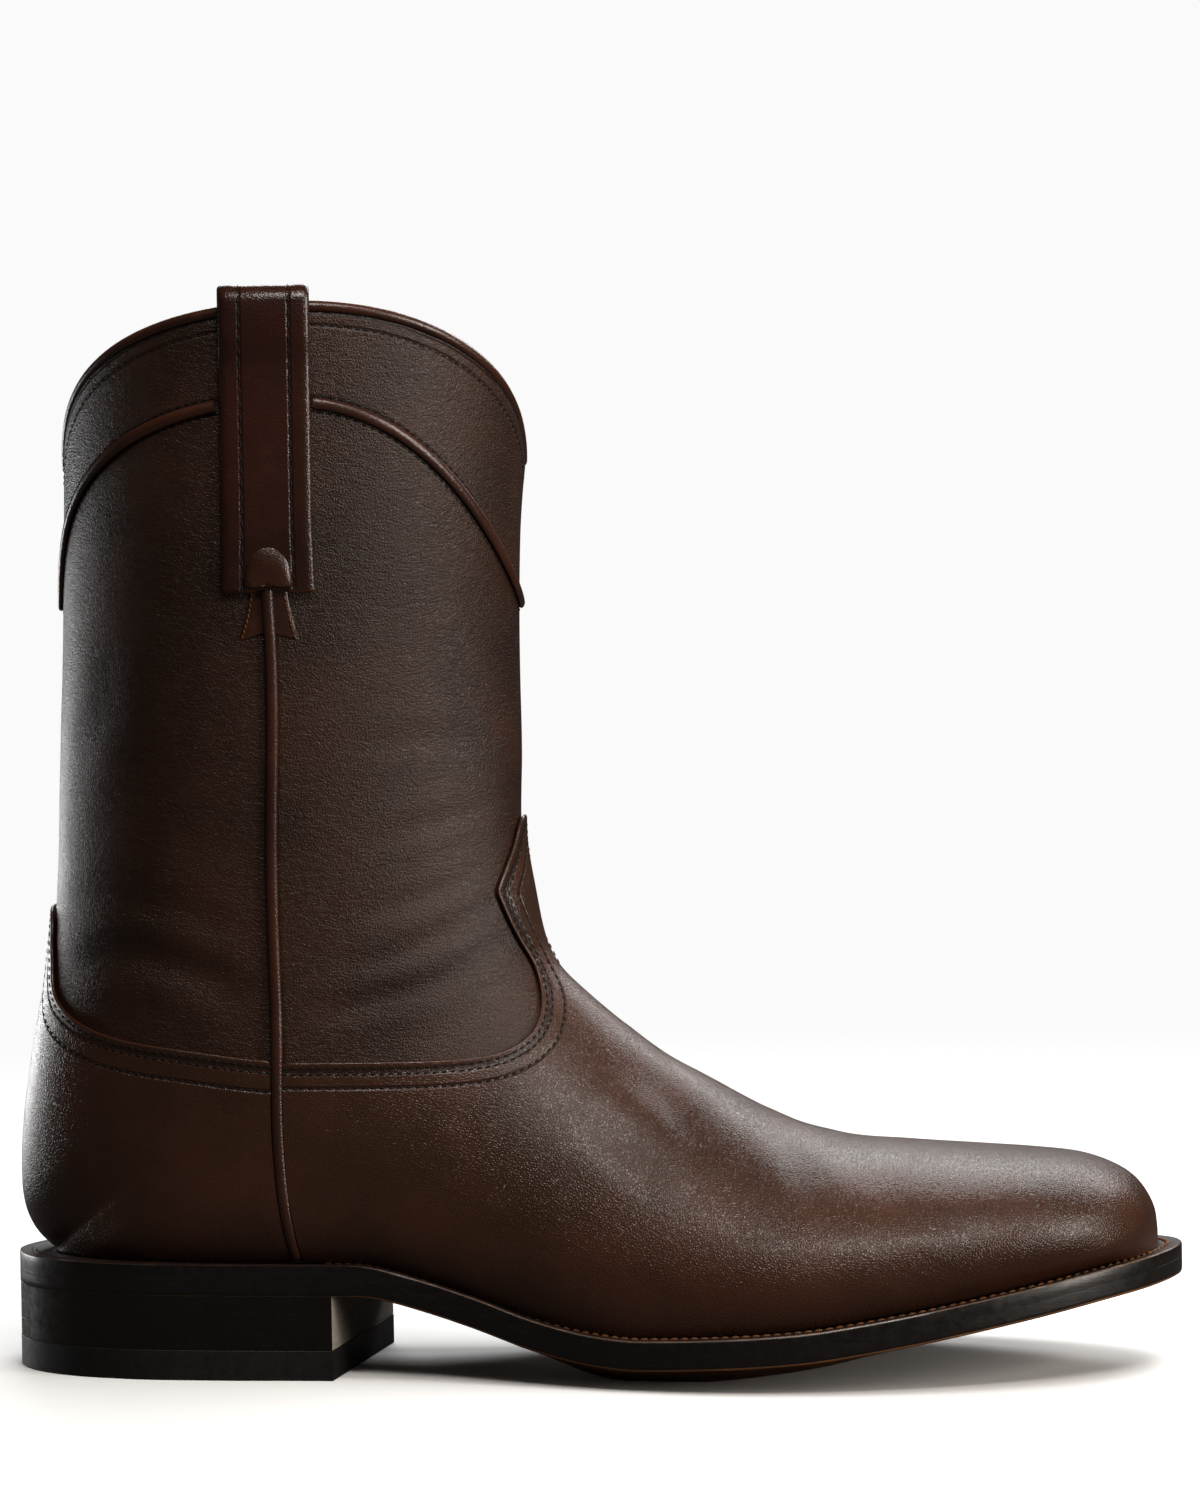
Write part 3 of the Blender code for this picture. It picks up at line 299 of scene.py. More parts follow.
@dataclass
class Last:
    """The boot's forms, worked out from its driving sizes in millimetres."""

    sole_length: float = 310.0
    ball_width: float = 106.0
    heel_width: float = 67.0
    toe_swing: float = 5.0
    outsole_thickness: float = 4.5
    welt_thickness: float = 3.3
    welt_reach: float = 7.3
    heel_height: float = 22.3
    ball_edge_lift: float = 5.2
    toe_spring: float = 24.0
    wall: float = 2.0
    overlay: float = 1.5
    instep_rise: float = 110.0
    shaft_back: float = 17.2
    shaft_depth: float = 120.6
    shaft_width: float = 100.0
    shaft_twist: float = 10.0
    dip_height: float = 237.5
    collar_rise: float = 41.5
    yoke_drop: float = 36.0
    yoke_rise: float = 56.0
    piping_width: float = 2.6
    gap: float = 0.3
    stand_gap: float = 0.42
    feather_slant: float = 28.0
    feather_rounding: float = 15.0
    twist_from: float = 0.42
    twist_to: float = 0.85
    waist_start: float = 0.29
    ball_start: float = 0.62
    flat_spot: float = 0.36
    collar_scallop: Scallop = Scallop(0.85, 0.70)
    yoke_scallop: Scallop = Scallop(1.40, 0.62)

    def __post_init__(self) -> None:
        """Work out the outline, the feather line and the table of sections."""
        self.outline = self._outline()
        share = curve_at(column(FEATHER_INSET, 0), column(FEATHER_INSET, 1),
                         self.outline[:, 0] / self.sole_length)
        self.feather = inset_loop(self.outline, self.welt_reach * share)
        self.feather_sides = dict(zip((LATERAL, MEDIAL), halves(self.feather, 400)))
        self.tip = float(self.feather[:, 0].max())
        self.heel = float(self.feather[:, 0].min())
        self.axis = self.shaft_back + 0.5 * self.shaft_depth
        self.seat = float(self.welt_top(0.0)) + self.stand_gap
        self.foot_rows = len(FOOT_SECTIONS) - 1
        self.sections = self._sections()
        self.rows = len(self.sections) - 1

    def half_girth(self, x: np.ndarray) -> np.ndarray:
        """Half of the width that a station follows: the heel's, then the ball's."""
        span = self.ball_start - self.waist_start
        t = np.clip((np.asarray(x) / self.sole_length - self.waist_start) / span, 0.0, 1.0)
        return 0.5 * (self.heel_width + (self.ball_width - self.heel_width) * t * t * (3 - 2 * t))

    def _outline(self, samples: int = 1440) -> np.ndarray:
        """The outsole's closed outline, heel back first, along the lateral side."""
        size = self.sole_length
        lateral = [(a * size, -s * self.half_girth(a * size)) for a, s, _ in OUTLINE]
        medial = [(a * size, s * self.half_girth(a * size)) for a, _, s in OUTLINE]
        corners = [(0.0, 0.0)] + lateral + [(size, self.toe_swing)] + medial[::-1]
        wrapped = np.array(corners[-3:] + corners + corners[:4])
        run = run_along(wrapped)
        at = np.linspace(run[3], run[3 + len(corners)], samples + 1)[:-1]
        return np.stack([curve_at(run, wrapped[:, 0], at), curve_at(run, wrapped[:, 1], at)], 1)

    def sole_edge(self, x: np.ndarray) -> np.ndarray:
        """Height of the outsole's bottom at its edge."""
        share = np.asarray(x) / self.sole_length
        along = column(SOLE_LIFT, 0)
        heel = np.clip(curve_at(along, column(SOLE_LIFT, 1), share), 0.0, 1.0)
        toe = np.clip(curve_at(along, column(SOLE_LIFT, 2), share), 0.0, 1.0)
        return (self.ball_edge_lift + (self.heel_height - self.ball_edge_lift) * heel
                + (self.toe_spring - self.ball_edge_lift) * toe)

    def sole_bottom(self, x: np.ndarray, across: np.ndarray) -> np.ndarray:
        """Height of the crowned tread; across runs from -1 to 1, edge to edge."""
        crown = curve_at(column(SOLE_LIFT, 0), column(SOLE_LIFT, 3),
                         np.asarray(x) / self.sole_length)
        dome = np.clip((1.0 + self.flat_spot) * (1.0 - across * across), 0.0, 1.0)
        return np.maximum(self.sole_edge(x) - self.ball_edge_lift * crown * dome, 0.0)

    def outsole_top(self, x: np.ndarray) -> np.ndarray:
        """Height of the outsole's upper face."""
        return self.sole_edge(x) + self.outsole_thickness

    def welt_top(self, x: np.ndarray) -> np.ndarray:
        """Height of the welt's upper face, on which the upper stands."""
        return self.outsole_top(x) + self.gap + self.welt_thickness

    def _sections(self) -> np.ndarray:
        """Every section as low x, low z, top x, top z, half widths, shape and corners."""
        front_line = self.shaft_back + self.shaft_depth
        rows = []
        for low, front, rise, lateral, medial, widest, ridge, lower, upper in FOOT_SECTIONS:
            low_x = self.heel + low * (self.tip - self.heel)
            top_x = front_line + front * (self.tip - front_line)
            half = float(self.half_girth(low_x))
            top_z = float(self.welt_top(top_x)) + self.stand_gap + rise * self.instep_rise
            rows.append((low_x, float(self.welt_top(low_x)) + self.stand_gap, top_x, top_z,
                         lateral * half, medial * half, widest, ridge * half, lower, upper))
        throat = rows[-1]
        for back, low, front, high, wide, widest, lower, upper in SHAFT_SECTIONS:
            half = 0.5 * wide * self.shaft_width
            rows.append((back * self.shaft_back, self.seat + low * (self.dip_height - self.seat),
                         throat[2] + front * self.shaft_depth,
                         throat[3] + high * (self.dip_height - throat[3]),
                         half, half, widest, 0.0, lower, upper))
        return np.array(rows)

    def _side_curve(self, row: float, side: int, values: np.ndarray) -> np.ndarray:
        """Half a section, from the feather edge or back line to the ridge, as (y, share)."""
        low_x, _, _, _, lateral, medial, widest, ridge, lower, upper = values
        line = self.feather_sides[side]
        feather = 0.0
        if row < self.foot_rows:
            feather = abs(float(np.interp(low_x, line[:, 0], line[:, 1])))
        half = max(lateral if side < 0 else medial, feather)
        slant = self.feather_slant * min(feather / self.feather_rounding, 1.0)
        turn = math.radians(90.0 - slant)
        if widest > 0.0:
            angle = np.linspace(turn, 0.0, 60)
            out = np.maximum(np.cos(angle), 0.0) ** (2.0 / lower)
            down = (np.sin(angle) / math.sin(turn)) ** (2.0 / lower)
            across = feather + (half - feather) * (out - out[0]) / (1.0 - out[0])
            below = np.stack([across, widest * (1.0 - down)], 1)
        else:
            below = np.array([(half, 0.0)])
        angle = np.linspace(0.0, math.pi / 2, 90)[1:]
        over = np.maximum(np.cos(angle), 0.0) ** (2.0 / upper)
        over[-1] = 0.0
        up = np.sin(angle) ** (2.0 / upper)
        middle = ridge * side
        above = np.stack([middle + (half - middle) * over, widest + (1.0 - widest) * up], 1)
        return np.vstack([below, above])

    def twist_at(self, z: np.ndarray) -> np.ndarray:
        """How far the shaft has turned at a height, in radians."""
        low = self.twist_from * self.dip_height
        high = self.twist_to * self.dip_height
        t = np.clip((np.asarray(z) - low) / (high - low), 0.0, 1.0)
        return math.radians(self.shaft_twist) * t * t * (3.0 - 2.0 * t)

    def turn(self, places: np.ndarray, angle: np.ndarray, centre: Optional[float] = None) -> np.ndarray:
        """Places, or directions with centre 0, turned about the shaft's axis."""
        about = self.axis if centre is None else centre
        places = np.asarray(places, float)
        x = places[..., 0] - about
        y = places[..., 1]
        c, s = np.cos(angle), np.sin(angle)
        return np.stack([about + x * c - y * s, x * s + y * c, places[..., 2]], -1)

    def section(self, row: float, half_columns: int) -> np.ndarray:
        """Points of one section, from the lateral edge over the ridge to the medial edge."""
        knots = range(len(self.sections))
        values = np.array([float(curve_at(knots, self.sections[:, k], row)) for k in range(10)])
        if row <= self.foot_rows:
            values[1] = float(self.welt_top(values[0])) + self.stand_gap
        low_x, low_z, top_x, top_z = values[:4]
        length = math.hypot(top_x - low_x, top_z - low_z)
        line = []
        for side in (LATERAL, MEDIAL):
            curve = self._side_curve(row, side, values)
            even = resample(curve * (1.0, length), half_columns)
            share = even[:, 1] / length
            half = np.stack([low_x + (top_x - low_x) * share, side * even[:, 0],
                             low_z + (top_z - low_z) * share], 1)
            line.append(half if side < 0 else half[-2::-1])
        points = np.vstack(line)
        if row == 0:
            points[:, 2] = self.welt_top(points[:, 0]) + self.stand_gap
        across = np.abs(points[:, 1]) / np.abs(points[:, 1]).max()
        start = self.foot_rows + 3
        grown = max(row - start, 0.0) / (self.rows - start)
        rise = grown * grown * self.collar_rise
        lift = rise * self.collar_scallop.share(across, points[:, 0] > self.axis)
        points = self.turn(points, self.twist_at(points[:, 2]))
        points[:, 2] += lift
        return points

    def grid(self, first: float, last: float, per_row: int, half_columns: int) -> "Form":
        """The outer form between two sections, as a fine grid."""
        count = int(round((last - first) * per_row))
        rows = np.linspace(first, last, count + 1)
        points = np.array([self.section(float(row), half_columns) for row in rows])
        return Form(self, rows, self._eased(rows, points))

    def _eased(self, rows: np.ndarray, points: np.ndarray, passes: int = 60) -> np.ndarray:
        """Even out the change from foot sections to shaft sections, away from the rims."""
        near = np.clip(1.0 - np.abs(rows - self.foot_rows) / 2.6, 0.0, 1.0)
        columns = np.arange(points.shape[1])
        inner = np.clip(np.minimum(columns, columns[::-1]) / 2.0, 0.0, 1.0)
        share = near[:, None] * np.where(rows[:, None] < self.foot_rows + 0.6, inner[None, :], 1.0)
        share = share[1:-1, :, None]
        eased = points.copy()
        for _ in range(passes):
            between = 0.5 * (eased[:-2] + eased[2:])
            eased[1:-1] += 0.5 * share * (between - eased[1:-1])
        return eased

    def seam_at(self, z: np.ndarray) -> np.ndarray:
        """Place along the boot of the side seam at a height, before the twist."""
        share = curve_at(column(SIDE_SEAM, 1), column(SIDE_SEAM, 0), np.asarray(z) / self.dip_height)
        return share * self.sole_length

    def yoke_height(self, across: np.ndarray, in_front: bool) -> np.ndarray:
        """Height of the yoke seam at a distance from the middle of the straight shaft."""
        share = np.minimum(np.abs(across) / (0.5 * self.shaft_width), 1.0)
        rise = self.yoke_rise * self.yoke_scallop.share(share, in_front)
        return self.dip_height - self.yoke_drop + rise

    def edge_line(self, table: Sequence[Sequence[float]], steps: int) -> np.ndarray:
        """An edge through a table of shares, from the side, as (x, z).

        Args:
            table: the edge's rows.
            steps: points from row to row.

        Returns:
            The edge, smooth except at the vamp's corner.
        """
        parts = [table]
        if table is VAMP_EDGE:
            parts = [table[:VAMP_CORNER + 1], table[VAMP_CORNER:]]
        lines = []
        for part in parts:
            knots = np.arange(len(part))
            at = np.linspace(0.0, len(part) - 1.0, steps * (len(part) - 1) + 1)
            lines.append(np.stack([curve_at(knots, column(part, 0), at) * self.sole_length,
                                   curve_at(knots, column(part, 1), at) * self.dip_height], 1))
        return np.vstack([line[:-1] for line in lines[:-1]] + [lines[-1]])


class Form:
    """A grid of the upper's outer form with its outward directions."""

    def __init__(self, last: Last, rows: np.ndarray, points: np.ndarray) -> None:
        """Keep the grid and work out where it faces.

        Args:
            last: the boot's forms.
            rows: each grid row's place among the sections.
            points: the places, rows by columns by three.
        """
        self.rows = rows
        self.points = points
        self.closed = rows >= last.foot_rows - 1e-6
        along = np.gradient(points, axis=0)
        across = np.gradient(points, axis=1)
        for row in np.flatnonzero(self.closed):
            across[row, 0] = across[row, -1] = points[row, 1] - points[row, -2]
        facing = np.cross(across, along)
        facing[self.closed, 0] += facing[self.closed, -1]
        facing[self.closed, -1] = facing[self.closed, 0]
        facing[..., 2] = np.maximum(facing[..., 2], 0.0)
        if rows[0] == 0:
            facing[0, :, 2] = 0.0
        open_rows = np.flatnonzero(~self.closed)
        facing[open_rows, 0, 2] = 0.0
        facing[open_rows, -1, 2] = 0.0
        self.facing = unit(facing)

    def at(self, offset: float, relief: Optional["Creases"] = None) -> np.ndarray:
        """The form moved outwards by an offset, with its creases if they are given."""
        rise = np.full(self.points.shape[:2], offset)
        if relief is not None:
            rise = rise + relief.height(self.points, self.facing)
        return self.points + self.facing * rise[..., None]

    def skin(self, grid: np.ndarray) -> tuple[np.ndarray, list[tuple[int, ...]]]:
        """One face of the form as places and faces, open at its rims."""
        count, columns, _ = grid.shape
        faces = [(r * columns + c, r * columns + c + 1, (r + 1) * columns + c + 1, (r + 1) * columns + c)
                 for r in range(count - 1) for c in range(columns - 1)]
        return grid.reshape(-1, 3), faces

    def shell(self, outside: np.ndarray, inside: np.ndarray
              ) -> tuple[np.ndarray, list[tuple[int, ...]], list[int]]:
        """A closed wall between two forms, and for each face 0 outside, 1 inside, 2 rim."""
        count, columns, _ = outside.shape
        places: list[np.ndarray] = []
        index = np.zeros((2, count, columns), int)
        for layer, grid in enumerate((outside, inside)):
            for r in range(count):
                for c in range(columns):
                    if self.closed[r] and c == columns - 1:
                        index[layer, r, c] = index[layer, r, 0]
                        continue
                    index[layer, r, c] = len(places)
                    places.append(grid[r, c])
        faces: list[tuple[int, ...]] = []
        kinds: list[int] = []
        for layer in (0, 1):
            for r in range(count - 1):
                for c in range(columns - 1):
                    a, b = index[layer, r, c], index[layer, r, c + 1]
                    d, e = index[layer, r + 1, c + 1], index[layer, r + 1, c]
                    faces.append(tuple(dict.fromkeys((a, b, d, e) if layer == 0 else (e, d, b, a))))
                    kinds.append(layer)
        for r, flip in ((0, False), (count - 1, True)):
            for c in range(columns - 1):
                rim = (index[0, r, c + 1], index[0, r, c], index[1, r, c], index[1, r, c + 1])
                faces.append(rim[::-1] if flip else rim)
                kinds.append(2)
        for r in range(count - 1):
            if self.closed[r]:
                break
            for c, flip in ((0, False), (columns - 1, True)):
                rim = (index[0, r, c], index[0, r + 1, c], index[1, r + 1, c], index[1, r, c])
                faces.append(rim[::-1] if flip else rim)
                kinds.append(2)
        return np.array(places), faces, kinds


@dataclass(frozen=True)
class Crease:
    """A soft trough or ridge, placed on one side of the boot, seen from there."""

    side: int
    path: tuple[tuple[float, float], ...]
    depth: float
    width: float


class Creases:
    """The wrinkles that wear has left in the leather."""

    def __init__(self, strokes: Sequence[Crease]) -> None:
        """Keep the strokes."""
        self.strokes = strokes

    def height(self, points: np.ndarray, facing: np.ndarray) -> np.ndarray:
        """Height of the relief over the form.

        Args:
            points: places of the form, rows by columns by three.
            facing: outward directions there.

        Returns:
            Millimetres above the form, below it where negative.
        """
        flat = points.reshape(-1, 3)
        sideways = facing.reshape(-1, 3)[:, 1]
        total = np.zeros(len(flat))
        for stroke in self.strokes:
            path = resample(self._smooth(np.array(stroke.path, float)), 24)
            seen = np.clip(0.5 + 2.2 * sideways * stroke.side, 0.0, 1.0)
            away = np.full(len(flat), 1e9)
            place = np.zeros(len(flat))
            for k in range(len(path) - 1):
                a, b = path[k], path[k + 1]
                span = b - a
                t = np.clip(((flat[:, (0, 2)] - a) @ span) / (span @ span), 0.0, 1.0)
                gone = np.linalg.norm(flat[:, (0, 2)] - a - t[:, None] * span, axis=1)
                nearer = gone < away
                away = np.where(nearer, gone, away)
                place = np.where(nearer, (k + t) / (len(path) - 1), place)
            fade = np.sin(np.pi * np.clip(place, 0.0, 1.0)) ** 0.7
            trough = np.exp(-(away / stroke.width) ** 2)
            shoulder = np.exp(-((away - 1.7 * stroke.width) / stroke.width) ** 2)
            total -= stroke.depth * seen * fade * (trough - 0.45 * shoulder)
        return total.reshape(points.shape[:2])

    @staticmethod
    def _smooth(path: np.ndarray) -> np.ndarray:
        """A smooth line through a stroke's points."""
        at = np.linspace(0.0, len(path) - 1.0, 40)
        knots = np.arange(len(path))
        return np.stack([curve_at(knots, path[:, 0], at), curve_at(knots, path[:, 1], at)], 1)


# Folds of the shaft and the vamp as (side, path of (x, z), depth, width) in millimetres
FOLDS = (
    Crease(LATERAL, ((16, 103), (26, 110), (42, 112), (60, 106), (68, 98)), 1.0, 4.6),
    Crease(LATERAL, ((14, 121), (30, 127), (50, 124), (64, 117)), 0.5, 4.2),
    Crease(LATERAL, ((86, 96), (102, 100), (120, 105), (134, 116)), 0.55, 3.6),
    Crease(LATERAL, ((92, 108), (110, 112), (128, 121), (137, 131)), 0.45, 3.2),
    Crease(LATERAL, ((96, 123), (114, 126), (130, 134)), 0.32, 2.8),
    Crease(LATERAL, ((100, 141), (118, 146), (134, 150)), 0.28, 2.8),
    Crease(LATERAL, ((98, 166), (116, 168), (132, 165)), 0.25, 3.2),
    Crease(LATERAL, ((20, 160), (32, 176), (36, 196)), 0.35, 5.0),
    Crease(LATERAL, ((160, 82), (171, 76), (182, 66), (190, 55)), 0.75, 3.8),
    Crease(LATERAL, ((170, 90), (182, 83), (196, 72)), 0.55, 3.4),
    Crease(LATERAL, ((194, 74), (204, 66), (212, 55), (216, 44)), 0.60, 4.0),
    Crease(LATERAL, ((152, 70), (166, 62), (178, 50)), 0.40, 4.4),
    Crease(LATERAL, ((206, 72), (216, 64), (224, 54)), 0.30, 3.0),
    Crease(LATERAL, ((224, 60), (233, 52), (240, 42)), 0.22, 3.4),
    Crease(LATERAL, ((238, 44), (256, 41), (272, 45)), 0.20, 3.0),
    Crease(MEDIAL, ((16, 105), (34, 112), (56, 104)), 0.8, 4.6),
    Crease(MEDIAL, ((84, 97), (104, 103), (124, 110)), 0.5, 3.8),
    Crease(MEDIAL, ((94, 122), (114, 127), (130, 136)), 0.35, 3.2),
    Crease(MEDIAL, ((158, 84), (172, 76), (184, 62)), 0.70, 3.8),
    Crease(MEDIAL, ((172, 90), (188, 80), (202, 66)), 0.50, 3.6),
    Crease(MEDIAL, ((196, 72), (208, 62), (216, 48)), 0.45, 4.0),
    Crease(MEDIAL, ((22, 170), (34, 184), (38, 204)), 0.35, 5.0),
)


class Surface:
    """Finds places on a skin, in millimetres."""

    def __init__(self, last: Last, points: np.ndarray, faces: Sequence[Sequence[int]]) -> None:
        """Build the search tree of a skin."""
        self.last = last
        self.tree = BVHTree.FromPolygons([Vector(p) for p in points], faces)

    def hit(self, start: np.ndarray, heading: np.ndarray) -> Optional[tuple[np.ndarray, np.ndarray]]:
        """First place that a ray meets, and the normal turned against the ray."""
        heading = Vector(heading).normalized()
        place, normal, _, _ = self.tree.ray_cast(Vector(start), heading)
        if place is None:
            return None
        if normal.dot(heading) > 0.0:
            normal = -normal
        return np.array(place), np.array(normal)

    def straight(self, start: Sequence[float], heading: Sequence[float]
                 ) -> Optional[tuple[np.ndarray, np.ndarray]]:
        """As hit, for a level ray in the frame of the shaft before its twist."""
        angle = self.last.twist_at(start[2])
        found = self.hit(self.last.turn(start, angle), self.last.turn(heading, angle, 0.0))
        if found is None:
            return None
        place, normal = found
        return self.last.turn(place, -angle), self.last.turn(normal, -angle, 0.0)

    def beside(self, x: float, z: float, side: int) -> Optional[tuple[np.ndarray, np.ndarray]]:
        """The outer face beside a place, as the side view shows it."""
        return self.hit((x, side * RAY_REACH, z), (0.0, -side, 0.0))

    def nearest(self, place: np.ndarray) -> tuple[np.ndarray, np.ndarray]:
        """The place of the skin nearest to a point, and its normal."""
        found, normal, _, _ = self.tree.find_nearest(Vector(place))
        return np.array(found), np.array(normal)


@dataclass
class Path:
    """A line on a skin: places and the outward direction at each."""

    places: np.ndarray
    outs: np.ndarray

    def spaced(self, step: float) -> "Path":
        """The same line with points at an even step."""
        length = np.linalg.norm(np.diff(self.places, axis=0), axis=1).sum()
        both = np.hstack([self.places, self.outs])
        run = run_along(self.places)
        at = np.linspace(0.0, run[-1], max(int(length / step), 2) + 1)
        even = np.stack([np.interp(at, run, both[:, k]) for k in range(6)], 1)
        return Path(even[:, :3], unit(even[:, 3:]))

    def smooth(self, rounds: int) -> "Path":
        """The same line with small steps evened out; its ends stay."""
        places = self.places.copy()
        outs = self.outs.copy()
        for _ in range(rounds):
            places[1:-1] = 0.25 * places[:-2] + 0.5 * places[1:-1] + 0.25 * places[2:]
            outs[1:-1] = 0.25 * outs[:-2] + 0.5 * outs[1:-1] + 0.25 * outs[2:]
        return Path(places, unit(outs))

    def beside(self, distance: float, skin: Surface, towards: np.ndarray) -> "Path":
        """The line moved sideways along the skin.

        Args:
            distance: how far, in millimetres.
            skin: the skin it stays on.
            towards: a direction that the shift leans to.

        Returns:
            The moved line, without the stretches that would come nearer than the distance.
        """
        over = self.over(towards)
        tree = KDTree(len(self.places))
        for k, place in enumerate(self.places):
            tree.insert(Vector(place), k)
        tree.balance()
        kept = []
        outs = []
        for wanted in self.places + over * distance:
            place, normal = skin.nearest(wanted)
            if tree.find(Vector(place))[2] > abs(distance) - 0.12:
                kept.append(place)
                outs.append(normal)
        return Path(np.array(kept), np.array(outs)).spaced(1.0).smooth(3)

    def over(self, lean: np.ndarray) -> np.ndarray:
        """Directions along the skin square to the line, on the side that a direction leans to."""
        across = unit(np.cross(self.outs, unit(np.gradient(self.places, axis=0))))
        return across if float(np.median(across @ lean)) > 0.0 else -across

    def lifted(self, height: float) -> "Path":
        """The line raised off the skin."""
        return Path(self.places + self.outs * height, self.outs)


def linear(code: str) -> tuple[float, float, float, float]:
    """An sRGB hex colour as linear light with full alpha."""
    channels = [int(code[k:k + 2], 16) / 255 for k in (1, 3, 5)]
    return (*(c / 12.92 if c <= 0.04045 else ((c + 0.055) / 1.055) ** 2.4 for c in channels), 1.0)


def add_node(tree: bpy.types.NodeTree, kind: str, settings: Optional[dict] = None,
             **inputs: object) -> bpy.types.Node:
    """Add a node with its settings, its values and its links.

    Args:
        tree: the node tree.
        kind: the node's type.
        settings: the node's own properties.
        inputs: a value or a socket for an input, by its name in lower case with
            underscores for spaces, or by its number as in _0.

    Returns:
        The node.
    """
    node = tree.nodes.new(kind)
    for name, value in (settings or {}).items():
        setattr(node, name, value)
    for name, value in inputs.items():
        if name[1:].isdigit():
            socket = node.inputs[int(name[1:])]
        else:
            wanted = name.replace("_", " ")
            socket = next(s for s in node.inputs if s.name.lower() == wanted and s.enabled)
        if isinstance(value, bpy.types.NodeSocket):
            tree.links.new(value, socket)
        else:
            socket.default_value = value
    return node


def new_material(name: str) -> tuple[bpy.types.Material, bpy.types.NodeTree, bpy.types.Node]:
    """An empty material with its tree and its Principled shader."""
    made = bpy.data.materials.new(name)
    made.use_nodes = True
    tree = made.node_tree
    return made, tree, tree.nodes["Principled BSDF"]


def sum_of(tree: bpy.types.NodeTree, operation: str, first: object, second: object) -> bpy.types.NodeSocket:
    """One step of arithmetic between two sockets or values."""
    return add_node(tree, "ShaderNodeMath", {"operation": operation}, _0=first, _1=second).outputs[0]


def noise(tree: bpy.types.NodeTree, place: bpy.types.NodeSocket, size_mm: float,
          **settings: float) -> bpy.types.NodeSocket:
    """Noise of a size in millimetres."""
    return add_node(tree, "ShaderNodeTexNoise", vector=place, scale=1.0 / (size_mm * MM), **settings).outputs[0]


def smooth_step(tree: bpy.types.NodeTree, value: bpy.types.NodeSocket, low: float, high: float,
                **ends: float) -> bpy.types.NodeSocket:
    """A value's soft rise from 0 to 1, or between the given ends, from low to high."""
    return add_node(tree, "ShaderNodeMapRange", {"interpolation_type": "SMOOTHSTEP"}, value=value,
                    from_min=low, from_max=high, **ends).outputs[0]


def blend(tree: bpy.types.NodeTree, share: bpy.types.NodeSocket, first: object,
          second: object) -> bpy.types.NodeSocket:
    """Two colours mixed by the second one's share."""
    return add_node(tree, "ShaderNodeMix", {"data_type": "RGBA"}, _0=share, _6=first, _7=second).outputs[2]


def bump(tree: bpy.types.NodeTree, height: bpy.types.NodeSocket, distance: float = MM) -> bpy.types.NodeSocket:
    """The normal of a relief."""
    return add_node(tree, "ShaderNodeBump", height=height, distance=distance, strength=1.0).outputs[0]


def in_scene(name: str, data: bpy.types.ID) -> bpy.types.Object:
    """A new object in the scene."""
    made = bpy.data.objects.new(name, data)
    bpy.context.scene.collection.objects.link(made)
    return made


@dataclass(frozen=True)
class Groove:
    """A sunk line at a distance from a seam, drawn from a distance attribute, with painted shade along it."""

    attribute: str
    at: float
    half_width: float
    depth: float = 0.35
    # Share of painted shade along the line, standing in for the shadow in the sunk line
    dark: float = 0.75


